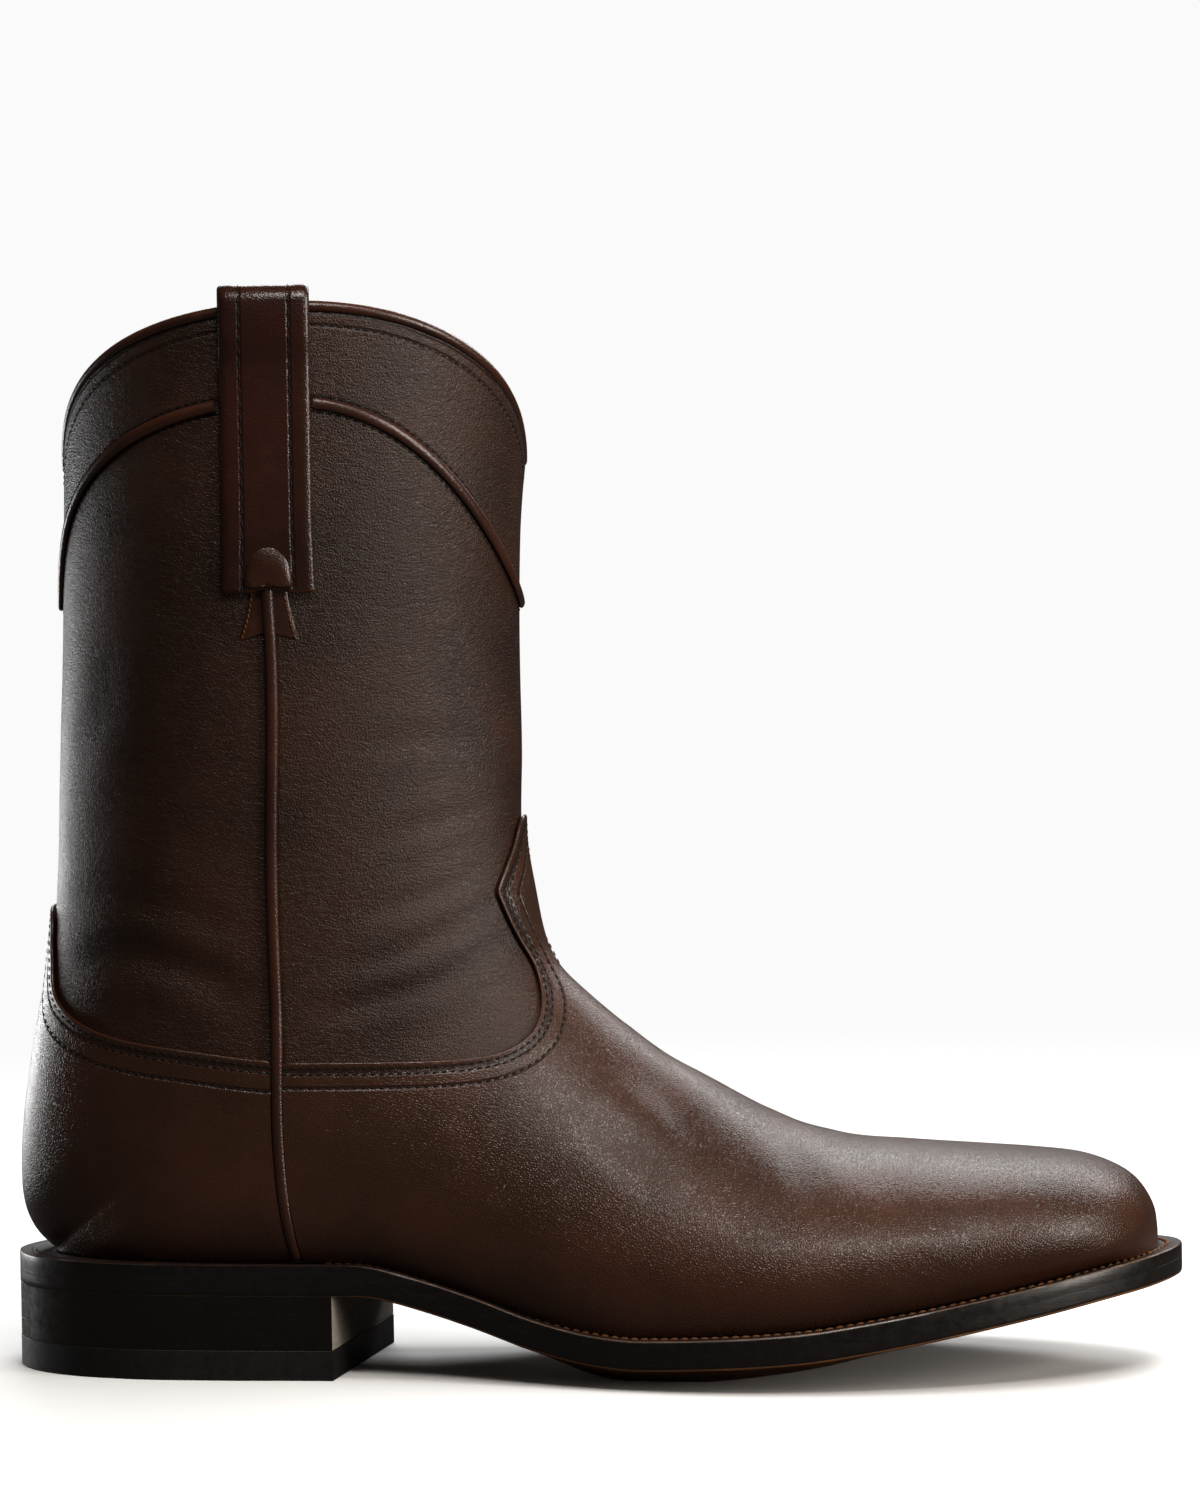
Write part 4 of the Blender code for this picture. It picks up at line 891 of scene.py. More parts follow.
@dataclass(frozen=True)
class Leather:
    """Chrome-tanned calf, waxed and brushed: a low sheen broken up by its grain."""

    name: str
    base: str
    shade: str
    glow: str
    roughness: float
    coat: float
    coat_roughness: float
    grain_mm: float
    grain_depth: float
    wrinkle_mm: tuple[float, float, float]
    wrinkle_depth: float
    mottle_mm: float = 45.0
    scuff: float = 0.03
    grooves: tuple[Groove, ...] = ()
    specular: float = 0.5

    def material(self) -> bpy.types.Material:
        """Build the node material."""
        made, tree, shader = new_material(self.name)
        place = add_node(tree, "ShaderNodeTexCoord").outputs["Object"]
        spread = smooth_step(tree, noise(tree, place, self.mottle_mm, detail=4.0, roughness=0.6), 0.36, 0.66)
        colour = blend(tree, spread, linear(self.shade), linear(self.base))
        speck = noise(tree, place, 6.0, detail=3.0, roughness=0.5)
        worn = smooth_step(tree, speck, 0.55, 0.75, to_max=self.scuff * 4.0)
        colour = blend(tree, worn, colour, linear(self.glow))
        drift = add_node(tree, "ShaderNodeTexNoise", vector=place, scale=1.0 / (1.3 * MM),
                         detail=2.0).outputs[1]
        drift = add_node(tree, "ShaderNodeVectorMath", {"operation": "SCALE"}, _0=drift,
                         scale=0.5 * MM).outputs[0]
        bent = add_node(tree, "ShaderNodeVectorMath", {"operation": "ADD"}, _0=place, _1=drift).outputs[0]
        edges = add_node(tree, "ShaderNodeTexVoronoi", {"feature": "DISTANCE_TO_EDGE"}, vector=bent,
                         scale=1.0 / (self.grain_mm * MM), randomness=1.0).outputs[0]
        cells = smooth_step(tree, edges, 0.0, 0.28)
        scale = tuple(1.0 / (size * MM) for size in self.wrinkle_mm)
        drawn = add_node(tree, "ShaderNodeMapping", vector=place, scale=scale).outputs[0]
        wrinkle = add_node(tree, "ShaderNodeTexNoise", vector=drawn, scale=1.0, detail=5.0,
                           roughness=0.62, distortion=0.9).outputs[0]
        pores = noise(tree, place, 0.35, detail=2.0)
        grain = sum_of(tree, "MULTIPLY", cells, self.grain_depth)
        grain = sum_of(tree, "ADD", grain, sum_of(tree, "MULTIPLY", wrinkle, self.wrinkle_depth))
        grain = sum_of(tree, "ADD", grain, sum_of(tree, "MULTIPLY", pores, 0.25 * self.grain_depth))
        # Painted shade: each groove line is darkened where its shadow would fall
        dark = None
        for groove in self.grooves:
            away = add_node(tree, "ShaderNodeAttribute", {"attribute_name": groove.attribute}).outputs["Fac"]
            off = sum_of(tree, "ABSOLUTE", sum_of(tree, "SUBTRACT", away, groove.at), 0.0)
            line = smooth_step(tree, off, 0.15 * groove.half_width, groove.half_width, to_min=1.0, to_max=0.0)
            grain = sum_of(tree, "SUBTRACT", grain, sum_of(tree, "MULTIPLY", line, groove.depth))
            shadow = sum_of(tree, "MULTIPLY", line, groove.dark)
            dark = shadow if dark is None else sum_of(tree, "MAXIMUM", dark, shadow)
        if dark is not None:
            # Near-black colour of the painted shade in the grooves
            colour = blend(tree, dark, colour, linear("#070403"))
        normal = bump(tree, grain)
        rough = add_node(tree, "ShaderNodeMapRange", value=speck, from_min=0.3, from_max=0.7,
                         to_min=self.roughness - 0.025, to_max=self.roughness + 0.025).outputs[0]
        tree.links.new(colour, shader.inputs["Base Color"])
        tree.links.new(rough, shader.inputs["Roughness"])
        tree.links.new(normal, shader.inputs["Normal"])
        tree.links.new(normal, shader.inputs["Coat Normal"])
        shader.inputs["Coat Weight"].default_value = self.coat
        shader.inputs["Coat Roughness"].default_value = self.coat_roughness
        shader.inputs["IOR"].default_value = 1.5
        shader.inputs["Specular IOR Level"].default_value = self.specular
        return made


@dataclass(frozen=True)
class EdgeInk:
    """Sole leather or rubber edge, inked and burnished: dark, with fine level strata."""

    name: str
    base: str
    line: str
    roughness: float
    strata_mm: float
    strata_depth: float
    coat: float = 0.0
    warm: float = 0.25

    def material(self) -> bpy.types.Material:
        """Build the node material."""
        made, tree, shader = new_material(self.name)
        place = add_node(tree, "ShaderNodeTexCoord").outputs["Object"]
        stretch = (1.0 / (26.0 * MM), 1.0 / (26.0 * MM), 1.0 / (self.strata_mm * MM))
        drawn = add_node(tree, "ShaderNodeMapping", vector=place, scale=stretch).outputs[0]
        strata = add_node(tree, "ShaderNodeTexNoise", vector=drawn, scale=1.0, detail=4.0,
                          roughness=0.7).outputs[0]
        speck = noise(tree, place, 2.4, detail=4.0, roughness=0.65)
        worn = smooth_step(tree, strata, 0.48, 0.74, to_max=self.warm)
        colour = blend(tree, worn, linear(self.base), linear(self.line))
        height = sum_of(tree, "ADD", sum_of(tree, "MULTIPLY", strata, self.strata_depth),
                        sum_of(tree, "MULTIPLY", speck, 0.35 * self.strata_depth))
        normal = bump(tree, height)
        rough = add_node(tree, "ShaderNodeMapRange", value=speck, from_min=0.3, from_max=0.7,
                         to_min=self.roughness - 0.08, to_max=self.roughness + 0.08).outputs[0]
        tree.links.new(colour, shader.inputs["Base Color"])
        tree.links.new(rough, shader.inputs["Roughness"])
        tree.links.new(normal, shader.inputs["Normal"])
        shader.inputs["Coat Weight"].default_value = self.coat
        shader.inputs["Coat Roughness"].default_value = 0.18
        return made


@dataclass(frozen=True)
class Thread:
    """Waxed polyester thread: a tight twist with a faint shine."""

    name: str
    base: str
    twist_mm: float = 0.45

    def material(self) -> bpy.types.Material:
        """Build the node material."""
        made, tree, shader = new_material(self.name)
        place = add_node(tree, "ShaderNodeTexCoord").outputs["Object"]
        normal = bump(tree, noise(tree, place, self.twist_mm, detail=2.0), 0.08 * MM)
        colour = blend(tree, noise(tree, place, 9.0, detail=3.0), linear("#0a0605"), linear(self.base))
        tree.links.new(colour, shader.inputs["Base Color"])
        tree.links.new(normal, shader.inputs["Normal"])
        shader.inputs["Roughness"].default_value = 0.7
        shader.inputs["Specular IOR Level"].default_value = 0.25
        return made


class Finish(Enum):
    """The finishes of the boot's own pieces."""

    # The shaft's grooves carry painted shade: a shadow beside the side and yoke piping, under the collar
    # binding and along the collar's stitch row
    SHAFT = Leather(
        "shaft_leather", "#301b10", "#22130b", "#40271a", 0.38, 0.06, 0.30, 0.80, 0.060,
        (2.3, 2.3, 1.05), 0.27, specular=0.38, grooves=(
            Groove("side_mm", 0.0, 2.5, 0.25, 0.85),
            Groove("yoke_mm", 0.0, 2.9, 0.25, 0.80),
            Groove("collar_mm", 0.3, 0.8, 0.4, 0.9),
            Groove("collar_mm", 3.4, 0.8, 0.22, 0.35),
        ))
    # The vamp's grooves carry painted shade in the stitch channel and along the outer stitch row
    VAMP = Leather(
        "vamp_leather", "#3b2216", "#2e1b10", "#4a2d1c", 0.31, 0.12, 0.22, 0.72, 0.050,
        (2.4, 2.4, 1.6), 0.07, specular=0.42, grooves=(
            Groove("edge_mm", 1.9, 1.6, 0.24, 0.62),
            Groove("row_mm", 0.0, 0.80, 0.22, 0.38),
        ))
    TRIM = Leather(
        "trim_leather", "#381c10", "#27130a", "#52301c", 0.32, 0.24, 0.22, 1.0, 0.03,
        (7.0, 7.0, 7.0), 0.05)
    # The strap's stitch rows carry painted shade
    STRAP = Leather(
        "strap_leather", "#2c120a", "#200c06", "#43200f", 0.31, 0.28, 0.20, 0.9, 0.03,
        (7.0, 7.0, 7.0), 0.06, grooves=(Groove("row_mm", 0.0, 0.85, 0.20, 0.40),))
    LINING = Leather(
        "lining_leather", "#9a7248", "#8a6238", "#b08a5c", 0.62, 0.0, 0.5, 0.8, 0.03,
        (9.0, 9.0, 9.0), 0.05)
    SOLE_EDGE = EdgeInk("sole_edge_ink", "#0a0706", "#1e130c", 0.36, 0.9, 0.04, 0.15)
    SOLE_BOTTOM = EdgeInk("sole_leather", "#6a4426", "#8a6238", 0.55, 3.0, 0.05, 0.0, 0.8)
    WELT = EdgeInk("welt_leather", "#1a0e08", "#4a2a14", 0.50, 1.6, 0.14, 0.0, 0.6)
    # Pale greyish colour on the welt's rounded top edge: a painted highlight
    WELT_RIM_PAINTED_HIGHLIGHT = EdgeInk("welt_rim_painted_highlight", "#4a3a30", "#8a7664", 0.30, 1.2, 0.05, 0.2, 0.7)
    HEEL = EdgeInk("heel_ink", "#080605", "#140d09", 0.30, 1.1, 0.02, 0.25)
    BREAST = EdgeInk("heel_breast", "#8a847a", "#a8a298", 0.66, 2.0, 0.20, 0.0, 0.9)
    RUBBER = EdgeInk("lift_rubber", "#0b0b0b", "#141414", 0.55, 2.2, 0.05)
    DARK_THREAD = Thread("dark_thread", "#120a07")
    RAW_EDGE = Thread("raw_edge", "#7a4422")
    WELT_THREAD = Thread("welt_thread", "#7a4a24")

    def material(self) -> bpy.types.Material:
        """The finish's material, made once."""
        return bpy.data.materials.get(self.value.name) or self.value.material()


class Workshop:
    """Turns forms in millimetres into finished objects in the frame of the solids."""

    def __init__(self, last: Last) -> None:
        """Find where the boot's own frame lies among the solids."""
        low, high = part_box("outsole")
        self.shift = np.array([low[0] / MM - last.outline[:, 0].min(),
                               low[1] / MM - last.outline[:, 1].min(), 0.0])
        self.last = last

    def piece(self, name: str, points: np.ndarray, faces: Sequence[Sequence[int]],
              finishes: Sequence[Finish], slots: Optional[Sequence[int]] = None,
              sharp: float = 45.0, outward: bool = True) -> bpy.types.Object:
        """Make one mesh object.

        Args:
            name: the piece's name.
            points: places in millimetres, in the boot's frame.
            faces: corner numbers of each face.
            finishes: the materials.
            slots: each face's material number.
            sharp: angle in degrees above which an edge stays sharp.
            outward: whether the faces are turned outwards again.

        Returns:
            The object, at the origin.
        """
        mesh = bpy.data.meshes.new(name)
        world = (np.asarray(points) + self.shift) * MM
        mesh.from_pydata(world.tolist(), [], [tuple(int(i) for i in f) for f in faces])
        for finish in finishes:
            mesh.materials.append(finish.material())
        if slots is not None:
            mesh.polygons.foreach_set("material_index", np.asarray(slots, np.int32))
        if outward:
            work = bmesh.new()
            work.from_mesh(mesh)
            bmesh.ops.recalc_face_normals(work, faces=work.faces)
            work.to_mesh(mesh)
            work.free()
        mesh.shade_smooth()
        mesh.set_sharp_from_angle(angle=math.radians(sharp))
        return in_scene(name, mesh)

    def places(self, made: bpy.types.Object) -> np.ndarray:
        """A finished mesh's vertices in millimetres, in the boot's frame."""
        flat = np.zeros(len(made.data.vertices) * 3)
        made.data.vertices.foreach_get("co", flat)
        return flat.reshape(-1, 3) / MM - self.shift

    def measure(self, made: bpy.types.Object, name: str, lines: Sequence[Path],
                lean: Optional[Sequence[float]] = None, start: float = 0.0, near: float = 6.0) -> None:
        """Store each vertex's distance to the nearest of some lines, in millimetres.

        Args:
            made: the piece.
            name: the attribute's name.
            lines: the lines.
            lean: where given, distances are negative on the side that this points away from.
            start: the distance that is counted as none.
            near: distance within which a signed one is measured square to the line.
        """
        even = [line.spaced(0.6) for line in lines]
        spots = np.vstack([line.places for line in even])
        overs = None
        if lean is not None:
            overs = np.vstack([line.over(np.array(lean)) for line in even])
        tree = KDTree(len(spots))
        for k, spot in enumerate(spots):
            tree.insert(Vector(spot), k)
        tree.balance()
        values = []
        for place in self.places(made):
            _, k, away = tree.find(Vector(place))
            if overs is not None:
                square = float(overs[k] @ (place - spots[k]))
                away = square if away < near else math.copysign(away, square)
            values.append(away - start)
        self.store(made, name, values)

    @staticmethod
    def store(made: bpy.types.Object, name: str, values: Sequence[float]) -> None:
        """Store one number for each vertex."""
        made.data.attributes.new(name, "FLOAT", "POINT").data.foreach_set("value", values)

    @staticmethod
    def baked(made: bpy.types.Object) -> bpy.types.Mesh:
        """The mesh that an object's modifiers make; the modifiers are dropped."""
        mesh = bpy.data.meshes.new_from_object(made.evaluated_get(bpy.context.evaluated_depsgraph_get()))
        made.modifiers.clear()
        return mesh

    def cut(self, made: bpy.types.Object, outline: np.ndarray) -> bpy.types.Object:
        """Keep what lies inside an outline seen from the side.

        Args:
            made: a closed piece.
            outline: the outline's (x, z) corners.

        Returns:
            The cut piece, under the same name.
        """
        count = len(outline)
        reach = self.last.ball_width
        corners = [(x, -reach, z) for x, z in outline] + [(x, reach, z) for x, z in outline]
        faces = [tuple(range(count)), tuple(range(count, 2 * count))]
        faces += [(k, (k + 1) % count, count + (k + 1) % count, count + k) for k in range(count)]
        knife = self.piece("knife", np.array(corners), faces, ())
        cut = made.modifiers.new("cut", "BOOLEAN")
        cut.operation = "INTERSECT"
        cut.solver = "EXACT"
        cut.object = knife
        mesh = self.baked(made)
        old = made.data
        made.data = mesh
        bpy.data.meshes.remove(old)
        bpy.data.objects.remove(knife, do_unlink=True)
        mesh.name = made.name
        mesh.shade_smooth()
        mesh.set_sharp_from_angle(angle=math.radians(45.0))
        return made

    def bead(self, name: str, path: Path, width: float, height: float, finish: Finish,
             closed: bool = False, sides: int = 12, ends: float = 0.0) -> bpy.types.Object:
        """An oval bead along a line.

        Args:
            name: the piece's name.
            path: the bead's middle.
            width: its width along the skin.
            height: its height off the skin.
            finish: its material.
            closed: whether the line closes on itself.
            sides: faces round the bead.
            ends: length over which open ends taper, in millimetres.

        Returns:
            The bead.
        """
        places, outs = path.places, path.outs
        if closed:
            ahead = unit(np.roll(places, -1, axis=0) - np.roll(places, 1, axis=0))
        else:
            ahead = unit(np.gradient(places, axis=0))
        outs = unit(outs - ahead * np.sum(outs * ahead, axis=1, keepdims=True))
        beside = np.cross(ahead, outs)
        count = len(places)
        swell = np.ones(count)
        if ends > 0.0:
            run = run_along(places)
            near_end = np.minimum(run, run[-1] - run) / ends
            swell = np.sqrt(np.clip(1.0 - (1.0 - np.clip(near_end, 0.02, 1.0)) ** 2, 0.0, 1.0))
        angle = 2.0 * np.pi * np.arange(sides) / sides
        ring = (0.5 * height * np.cos(angle)[None, :, None] * outs[:, None]
                + 0.5 * width * np.sin(angle)[None, :, None] * beside[:, None])
        points = places[:, None] + ring * swell[:, None, None]
        faces = [(r * sides + k, r * sides + (k + 1) % sides,
                  (r + 1) % count * sides + (k + 1) % sides, (r + 1) % count * sides + k)
                 for r in range(count if closed else count - 1) for k in range(sides)]
        if not closed:
            faces += [tuple(range(sides)), tuple(range((count - 1) * sides, count * sides))]
        return self.piece(name, points.reshape(-1, 3), faces, (finish,), sharp=70.0)

    def stitches(self, name: str, rows: Sequence[Path], finish: Finish, spacing: float,
                 size: tuple[float, float, float], tilt: float = 0.0) -> bpy.types.Object:
        """Rows of stitches, laid along their lines by Geometry Nodes.

        Args:
            name: the piece's name.
            rows: the lines.
            finish: the thread.
            spacing: from stitch to stitch, in millimetres.
            size: one stitch's length, width and height.
            tilt: how far each stitch is turned on the skin, in degrees.

        Returns:
            The stitches as a plain mesh.
        """
        points: list[np.ndarray] = []
        outs: list[np.ndarray] = []
        edges: list[tuple[int, int]] = []
        for row in rows:
            start = len(points)
            points.extend(row.places)
            outs.extend(row.outs)
            edges.extend((k, k + 1) for k in range(start, len(points) - 1))
        mesh = bpy.data.meshes.new(name + "_line")
        world = (np.array(points) + self.shift) * MM
        mesh.from_pydata(world.tolist(), edges, [])
        stored = mesh.attributes.new("out", "FLOAT_VECTOR", "POINT")
        stored.data.foreach_set("vector", np.array(outs).ravel())
        line = in_scene(name + "_line", mesh)
        sewing = line.modifiers.new("sewing", "NODES")
        tree = StitchTree.tree()
        sewing.node_group = tree
        values = {"Spacing": spacing * MM, "Length": size[0] * MM, "Width": size[1] * MM,
                  "Height": size[2] * MM, "Tilt": math.radians(tilt), "Thread": finish.material()}
        for item in tree.interface.items_tree:
            if item.name in values:
                sewing[item.identifier] = values[item.name]
        done = self.baked(line)
        bpy.data.objects.remove(line, do_unlink=True)
        bpy.data.meshes.remove(mesh)
        done.name = name
        return in_scene(name, done)

    @staticmethod
    def hand_over(made: bpy.types.Object, slot: str, *nodes: str) -> None:
        """Let a finished piece ride on the boot's body, in place of solids if any."""
        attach(made, "root")
        if nodes:
            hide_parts(*nodes)
        LOG.info("%s: %d faces", made.name, len(made.data.polygons))


class StitchTree:
    """The node tree that lays stitches along lines."""

    NAME = "stitches_along_lines"

    @classmethod
    def tree(cls) -> bpy.types.NodeTree:
        """The tree, built once."""
        found = bpy.data.node_groups.get(cls.NAME)
        if found:
            return found
        tree = bpy.data.node_groups.new(cls.NAME, "GeometryNodeTree")
        tree.interface.new_socket("Geometry", in_out="INPUT", socket_type="NodeSocketGeometry")
        for name in ("Spacing", "Length", "Width", "Height", "Tilt"):
            tree.interface.new_socket(name, in_out="INPUT", socket_type="NodeSocketFloat")
        tree.interface.new_socket("Thread", in_out="INPUT", socket_type="NodeSocketMaterial")
        tree.interface.new_socket("Geometry", in_out="OUTPUT", socket_type="NodeSocketGeometry")
        given = tree.nodes.new("NodeGroupInput").outputs
        line = add_node(tree, "GeometryNodeMeshToCurve", _0=given["Geometry"]).outputs[0]
        spots = add_node(tree, "GeometryNodeResampleCurve", {"mode": "LENGTH"}, curve=line,
                         length=given["Spacing"]).outputs[0]
        ball = add_node(tree, "GeometryNodeMeshUVSphere", segments=8, rings=5, radius=0.5).outputs[0]
        size = add_node(tree, "ShaderNodeCombineXYZ", x=given["Length"], y=given["Width"],
                        z=given["Height"]).outputs[0]
        turn = add_node(tree, "ShaderNodeCombineXYZ", z=given["Tilt"]).outputs[0]
        stitch = add_node(tree, "GeometryNodeTransform", geometry=ball, scale=size, rotation=turn).outputs[0]
        ahead = tree.nodes.new("GeometryNodeInputTangent").outputs[0]
        out = add_node(tree, "GeometryNodeInputNamedAttribute", {"data_type": "FLOAT_VECTOR"},
                       name="out").outputs[0]
        facing = add_node(tree, "FunctionNodeAxesToRotation",
                          {"primary_axis": "X", "secondary_axis": "Z"},
                          primary_axis=ahead, secondary_axis=out).outputs[0]
        laid = add_node(tree, "GeometryNodeInstanceOnPoints", points=spots, instance=stitch,
                        rotation=facing).outputs[0]
        real = add_node(tree, "GeometryNodeRealizeInstances", geometry=laid).outputs[0]
        smooth = add_node(tree, "GeometryNodeSetShadeSmooth", _0=real).outputs[0]
        dyed = add_node(tree, "GeometryNodeSetMaterial", geometry=smooth, material=given["Thread"]).outputs[0]
        add_node(tree, "NodeGroupOutput", _0=dyed)
        return tree


@dataclass
class Upper:
    """The shaft with its lining, the vamp, the counter, their edges and their seams."""

    last: Last
    shop: Workshop
    per_row: int = 9
    half_columns: int = 80
    overlay_sink: float = 0.15
    edge_roll: float = 1.0
    stitch_rows: tuple[float, float] = (1.1, 2.7)
    vamp_row: float = 6.3
    counter_row: float = 7.6
    stitch_spacing: float = 2.3
    stitch_size: tuple[float, float, float] = (1.65, 0.66, 0.36)
    creases: Creases = field(default_factory=lambda: Creases(FOLDS))

    def __post_init__(self) -> None:
        """Work out the forms that every piece of the upper shares."""
        last = self.last
        self.whole = last.grid(0.0, last.rows, self.per_row, self.half_columns)
        self.skin = Surface(last, *self.whole.skin(self.whole.at(0.0, self.creases)))
        self.cover = Surface(last, *self.whole.skin(self.whole.at(last.overlay, self.creases)))
        self.clear = 0.5 * last.piping_width + last.gap

    def build(self) -> None:
        """Make every piece of the upper."""
        self._shaft()
        self._overlay("vamp_piece", "vamp", VAMP_EDGE, 0.0, last_row=self.last.foot_rows + 2.0)
        self._overlay("counter_piece", "counter", COUNTER_EDGE, 12.0, last_row=self.last.foot_rows + 8.0)

    def side_seam(self, side: int, low: Optional[float] = None, high: float = 206.0) -> Path:
        """The side seam on one side, from the welt up."""
        places, outs = [], []
        start = self.last.seat + 1.2 if low is None else low
        for z in np.linspace(start, high, 180):
            x = float(self.last.seam_at(z))
            found = self.skin.straight((x, side * RAY_REACH, z), (0.0, -side, 0.0))
            angle = self.last.twist_at(z)
            places.append(self.last.turn(found[0], angle))
            outs.append(self.last.turn(found[1], angle, 0.0))
        return Path(np.array(places), np.array(outs)).smooth(4)

    def yoke_seam(self) -> Path:
        """The yoke seam all the way round the shaft."""
        places, outs = [], []
        for turn in np.linspace(-math.pi, math.pi, 361)[:-1]:
            heading = np.array((math.cos(turn), math.sin(turn), 0.0))
            in_front = math.cos(turn) > 0.0
            z = float(self.last.yoke_height(0.0, in_front))
            for _ in range(8):
                start = np.array((self.last.axis, 0.0, z)) + heading * RAY_REACH
                place, normal = self.skin.straight(start, -heading)
                z = float(self.last.yoke_height(place[1], in_front))
            angle = self.last.twist_at(z)
            places.append(self.last.turn(place, angle))
            outs.append(self.last.turn(normal, angle, 0.0))
        return Path(np.array(places), np.array(outs))

    def _shaft(self) -> None:
        """The wall of the upper: leather outside, lining inside."""
        outside = self.whole.at(0.0, self.creases)
        inside = self.whole.at(-self.last.wall)
        points, faces, kinds = self.whole.shell(outside, inside)
        slots = [1 if kind == 1 else 0 for kind in kinds]
        made = self.shop.piece("shaft_and_lining", points, faces, (Finish.SHAFT, Finish.LINING), slots,
                               outward=False)
        self.shop.measure(made, "side_mm", [self.side_seam(s) for s in (LATERAL, MEDIAL)], (1.0, 0.0, 0.0))
        self.shop.measure(made, "yoke_mm", [self.yoke_seam()], (0.0, 0.0, 1.0))
        rim = outside[-1]
        self.shop.measure(made, "collar_mm", [Path(rim, np.zeros_like(rim) + (0.0, 0.0, 1.0))])
        self.shop.hand_over(made, "shaft", "upper")

    def _edge(self, table: Sequence[Sequence[float]], side: int) -> Path:
        """The edge of an overlay on one side, on its outer face."""
        places, outs = [], []
        ahead = 1.0 if table is VAMP_EDGE else -1.0
        for x, z in self.last.edge_line(table, 40):
            if ahead * (x - float(self.last.seam_at(z))) <= self.clear:
                continue
            found = self.cover.beside(x, z, side)
            if found is not None:
                places.append(found[0])
                outs.append(found[1])
        return Path(np.array(places), np.array(outs)).spaced(0.7).smooth(2)

    def _overlay(self, name: str, node: str, table: Sequence[Sequence[float]], first_row: float,
                 last_row: float) -> None:
        """A piece that lies over the shaft, cut to its edge, with its stitching.

        Args:
            name: the piece's name.
            node: the solid it stands for.
            table: its edge.
            first_row: the section it starts at.
            last_row: the section it ends at.
        """
        last = self.last
        form = last.grid(first_row, last_row, self.per_row, self.half_columns)
        points, faces, _ = form.shell(form.at(last.overlay, self.creases),
                                      form.at(-self.overlay_sink, self.creases))
        made = self.shop.piece(name, points, faces, (Finish.VAMP,))
        ahead = 1.0 if table is VAMP_EDGE else -1.0
        edge = last.edge_line(table, 12)
        edge = edge[ahead * (edge[:, 0] - last.seam_at(edge[:, 1])) > self.clear]
        top = edge[-1, 1] if ahead > 0 else edge[0, 1]
        heights = np.linspace(last.seat, top, 24)
        seam = np.stack([last.seam_at(heights) + ahead * self.clear, heights], 1)
        foot = (seam[0, 0], -last.seat)
        if ahead > 0:
            far = 2.0 * last.sole_length
            throat = edge[0, 1] + last.seat
            outline = [(far, -last.seat), (far, throat), (edge[0, 0] + last.seat, throat),
                       *edge, *seam[::-1], foot]
        else:
            outline = [*edge, (-last.shaft_depth, edge[-1, 1]), (-last.shaft_depth, -last.seat),
                       foot, *seam]
        made = self.shop.cut(made, np.array(outline))
        edges = [self._edge(table, side) for side in (LATERAL, MEDIAL)]
        down = np.array((0.0, 0.0, -1.0))
        outer_row = self.vamp_row if ahead > 0 else self.counter_row
        rows = [[line.beside(away, self.cover, down) for line in edges]
                for away in (*self.stitch_rows, outer_row)]
        self.shop.measure(made, "edge_mm", edges)
        self.shop.measure(made, "row_mm", edges, start=outer_row)
        self.shop.hand_over(made, "vamp", node)
        thread = self.shop.stitches(f"{node}_stitches", [row.lifted(-0.03) for pair in rows for row in pair],
                                    Finish.DARK_THREAD, self.stitch_spacing, self.stitch_size, 8.0)
        self.shop.hand_over(thread, "vamp")
        for line, label in zip(edges, ("lateral", "medial")):
            roll = self.shop.bead(f"{node}_edge_{label}", line.lifted(-0.45), self.edge_roll,
                                  self.edge_roll, Finish.TRIM, sides=8, ends=1.5)
            self.shop.hand_over(roll, "trim")


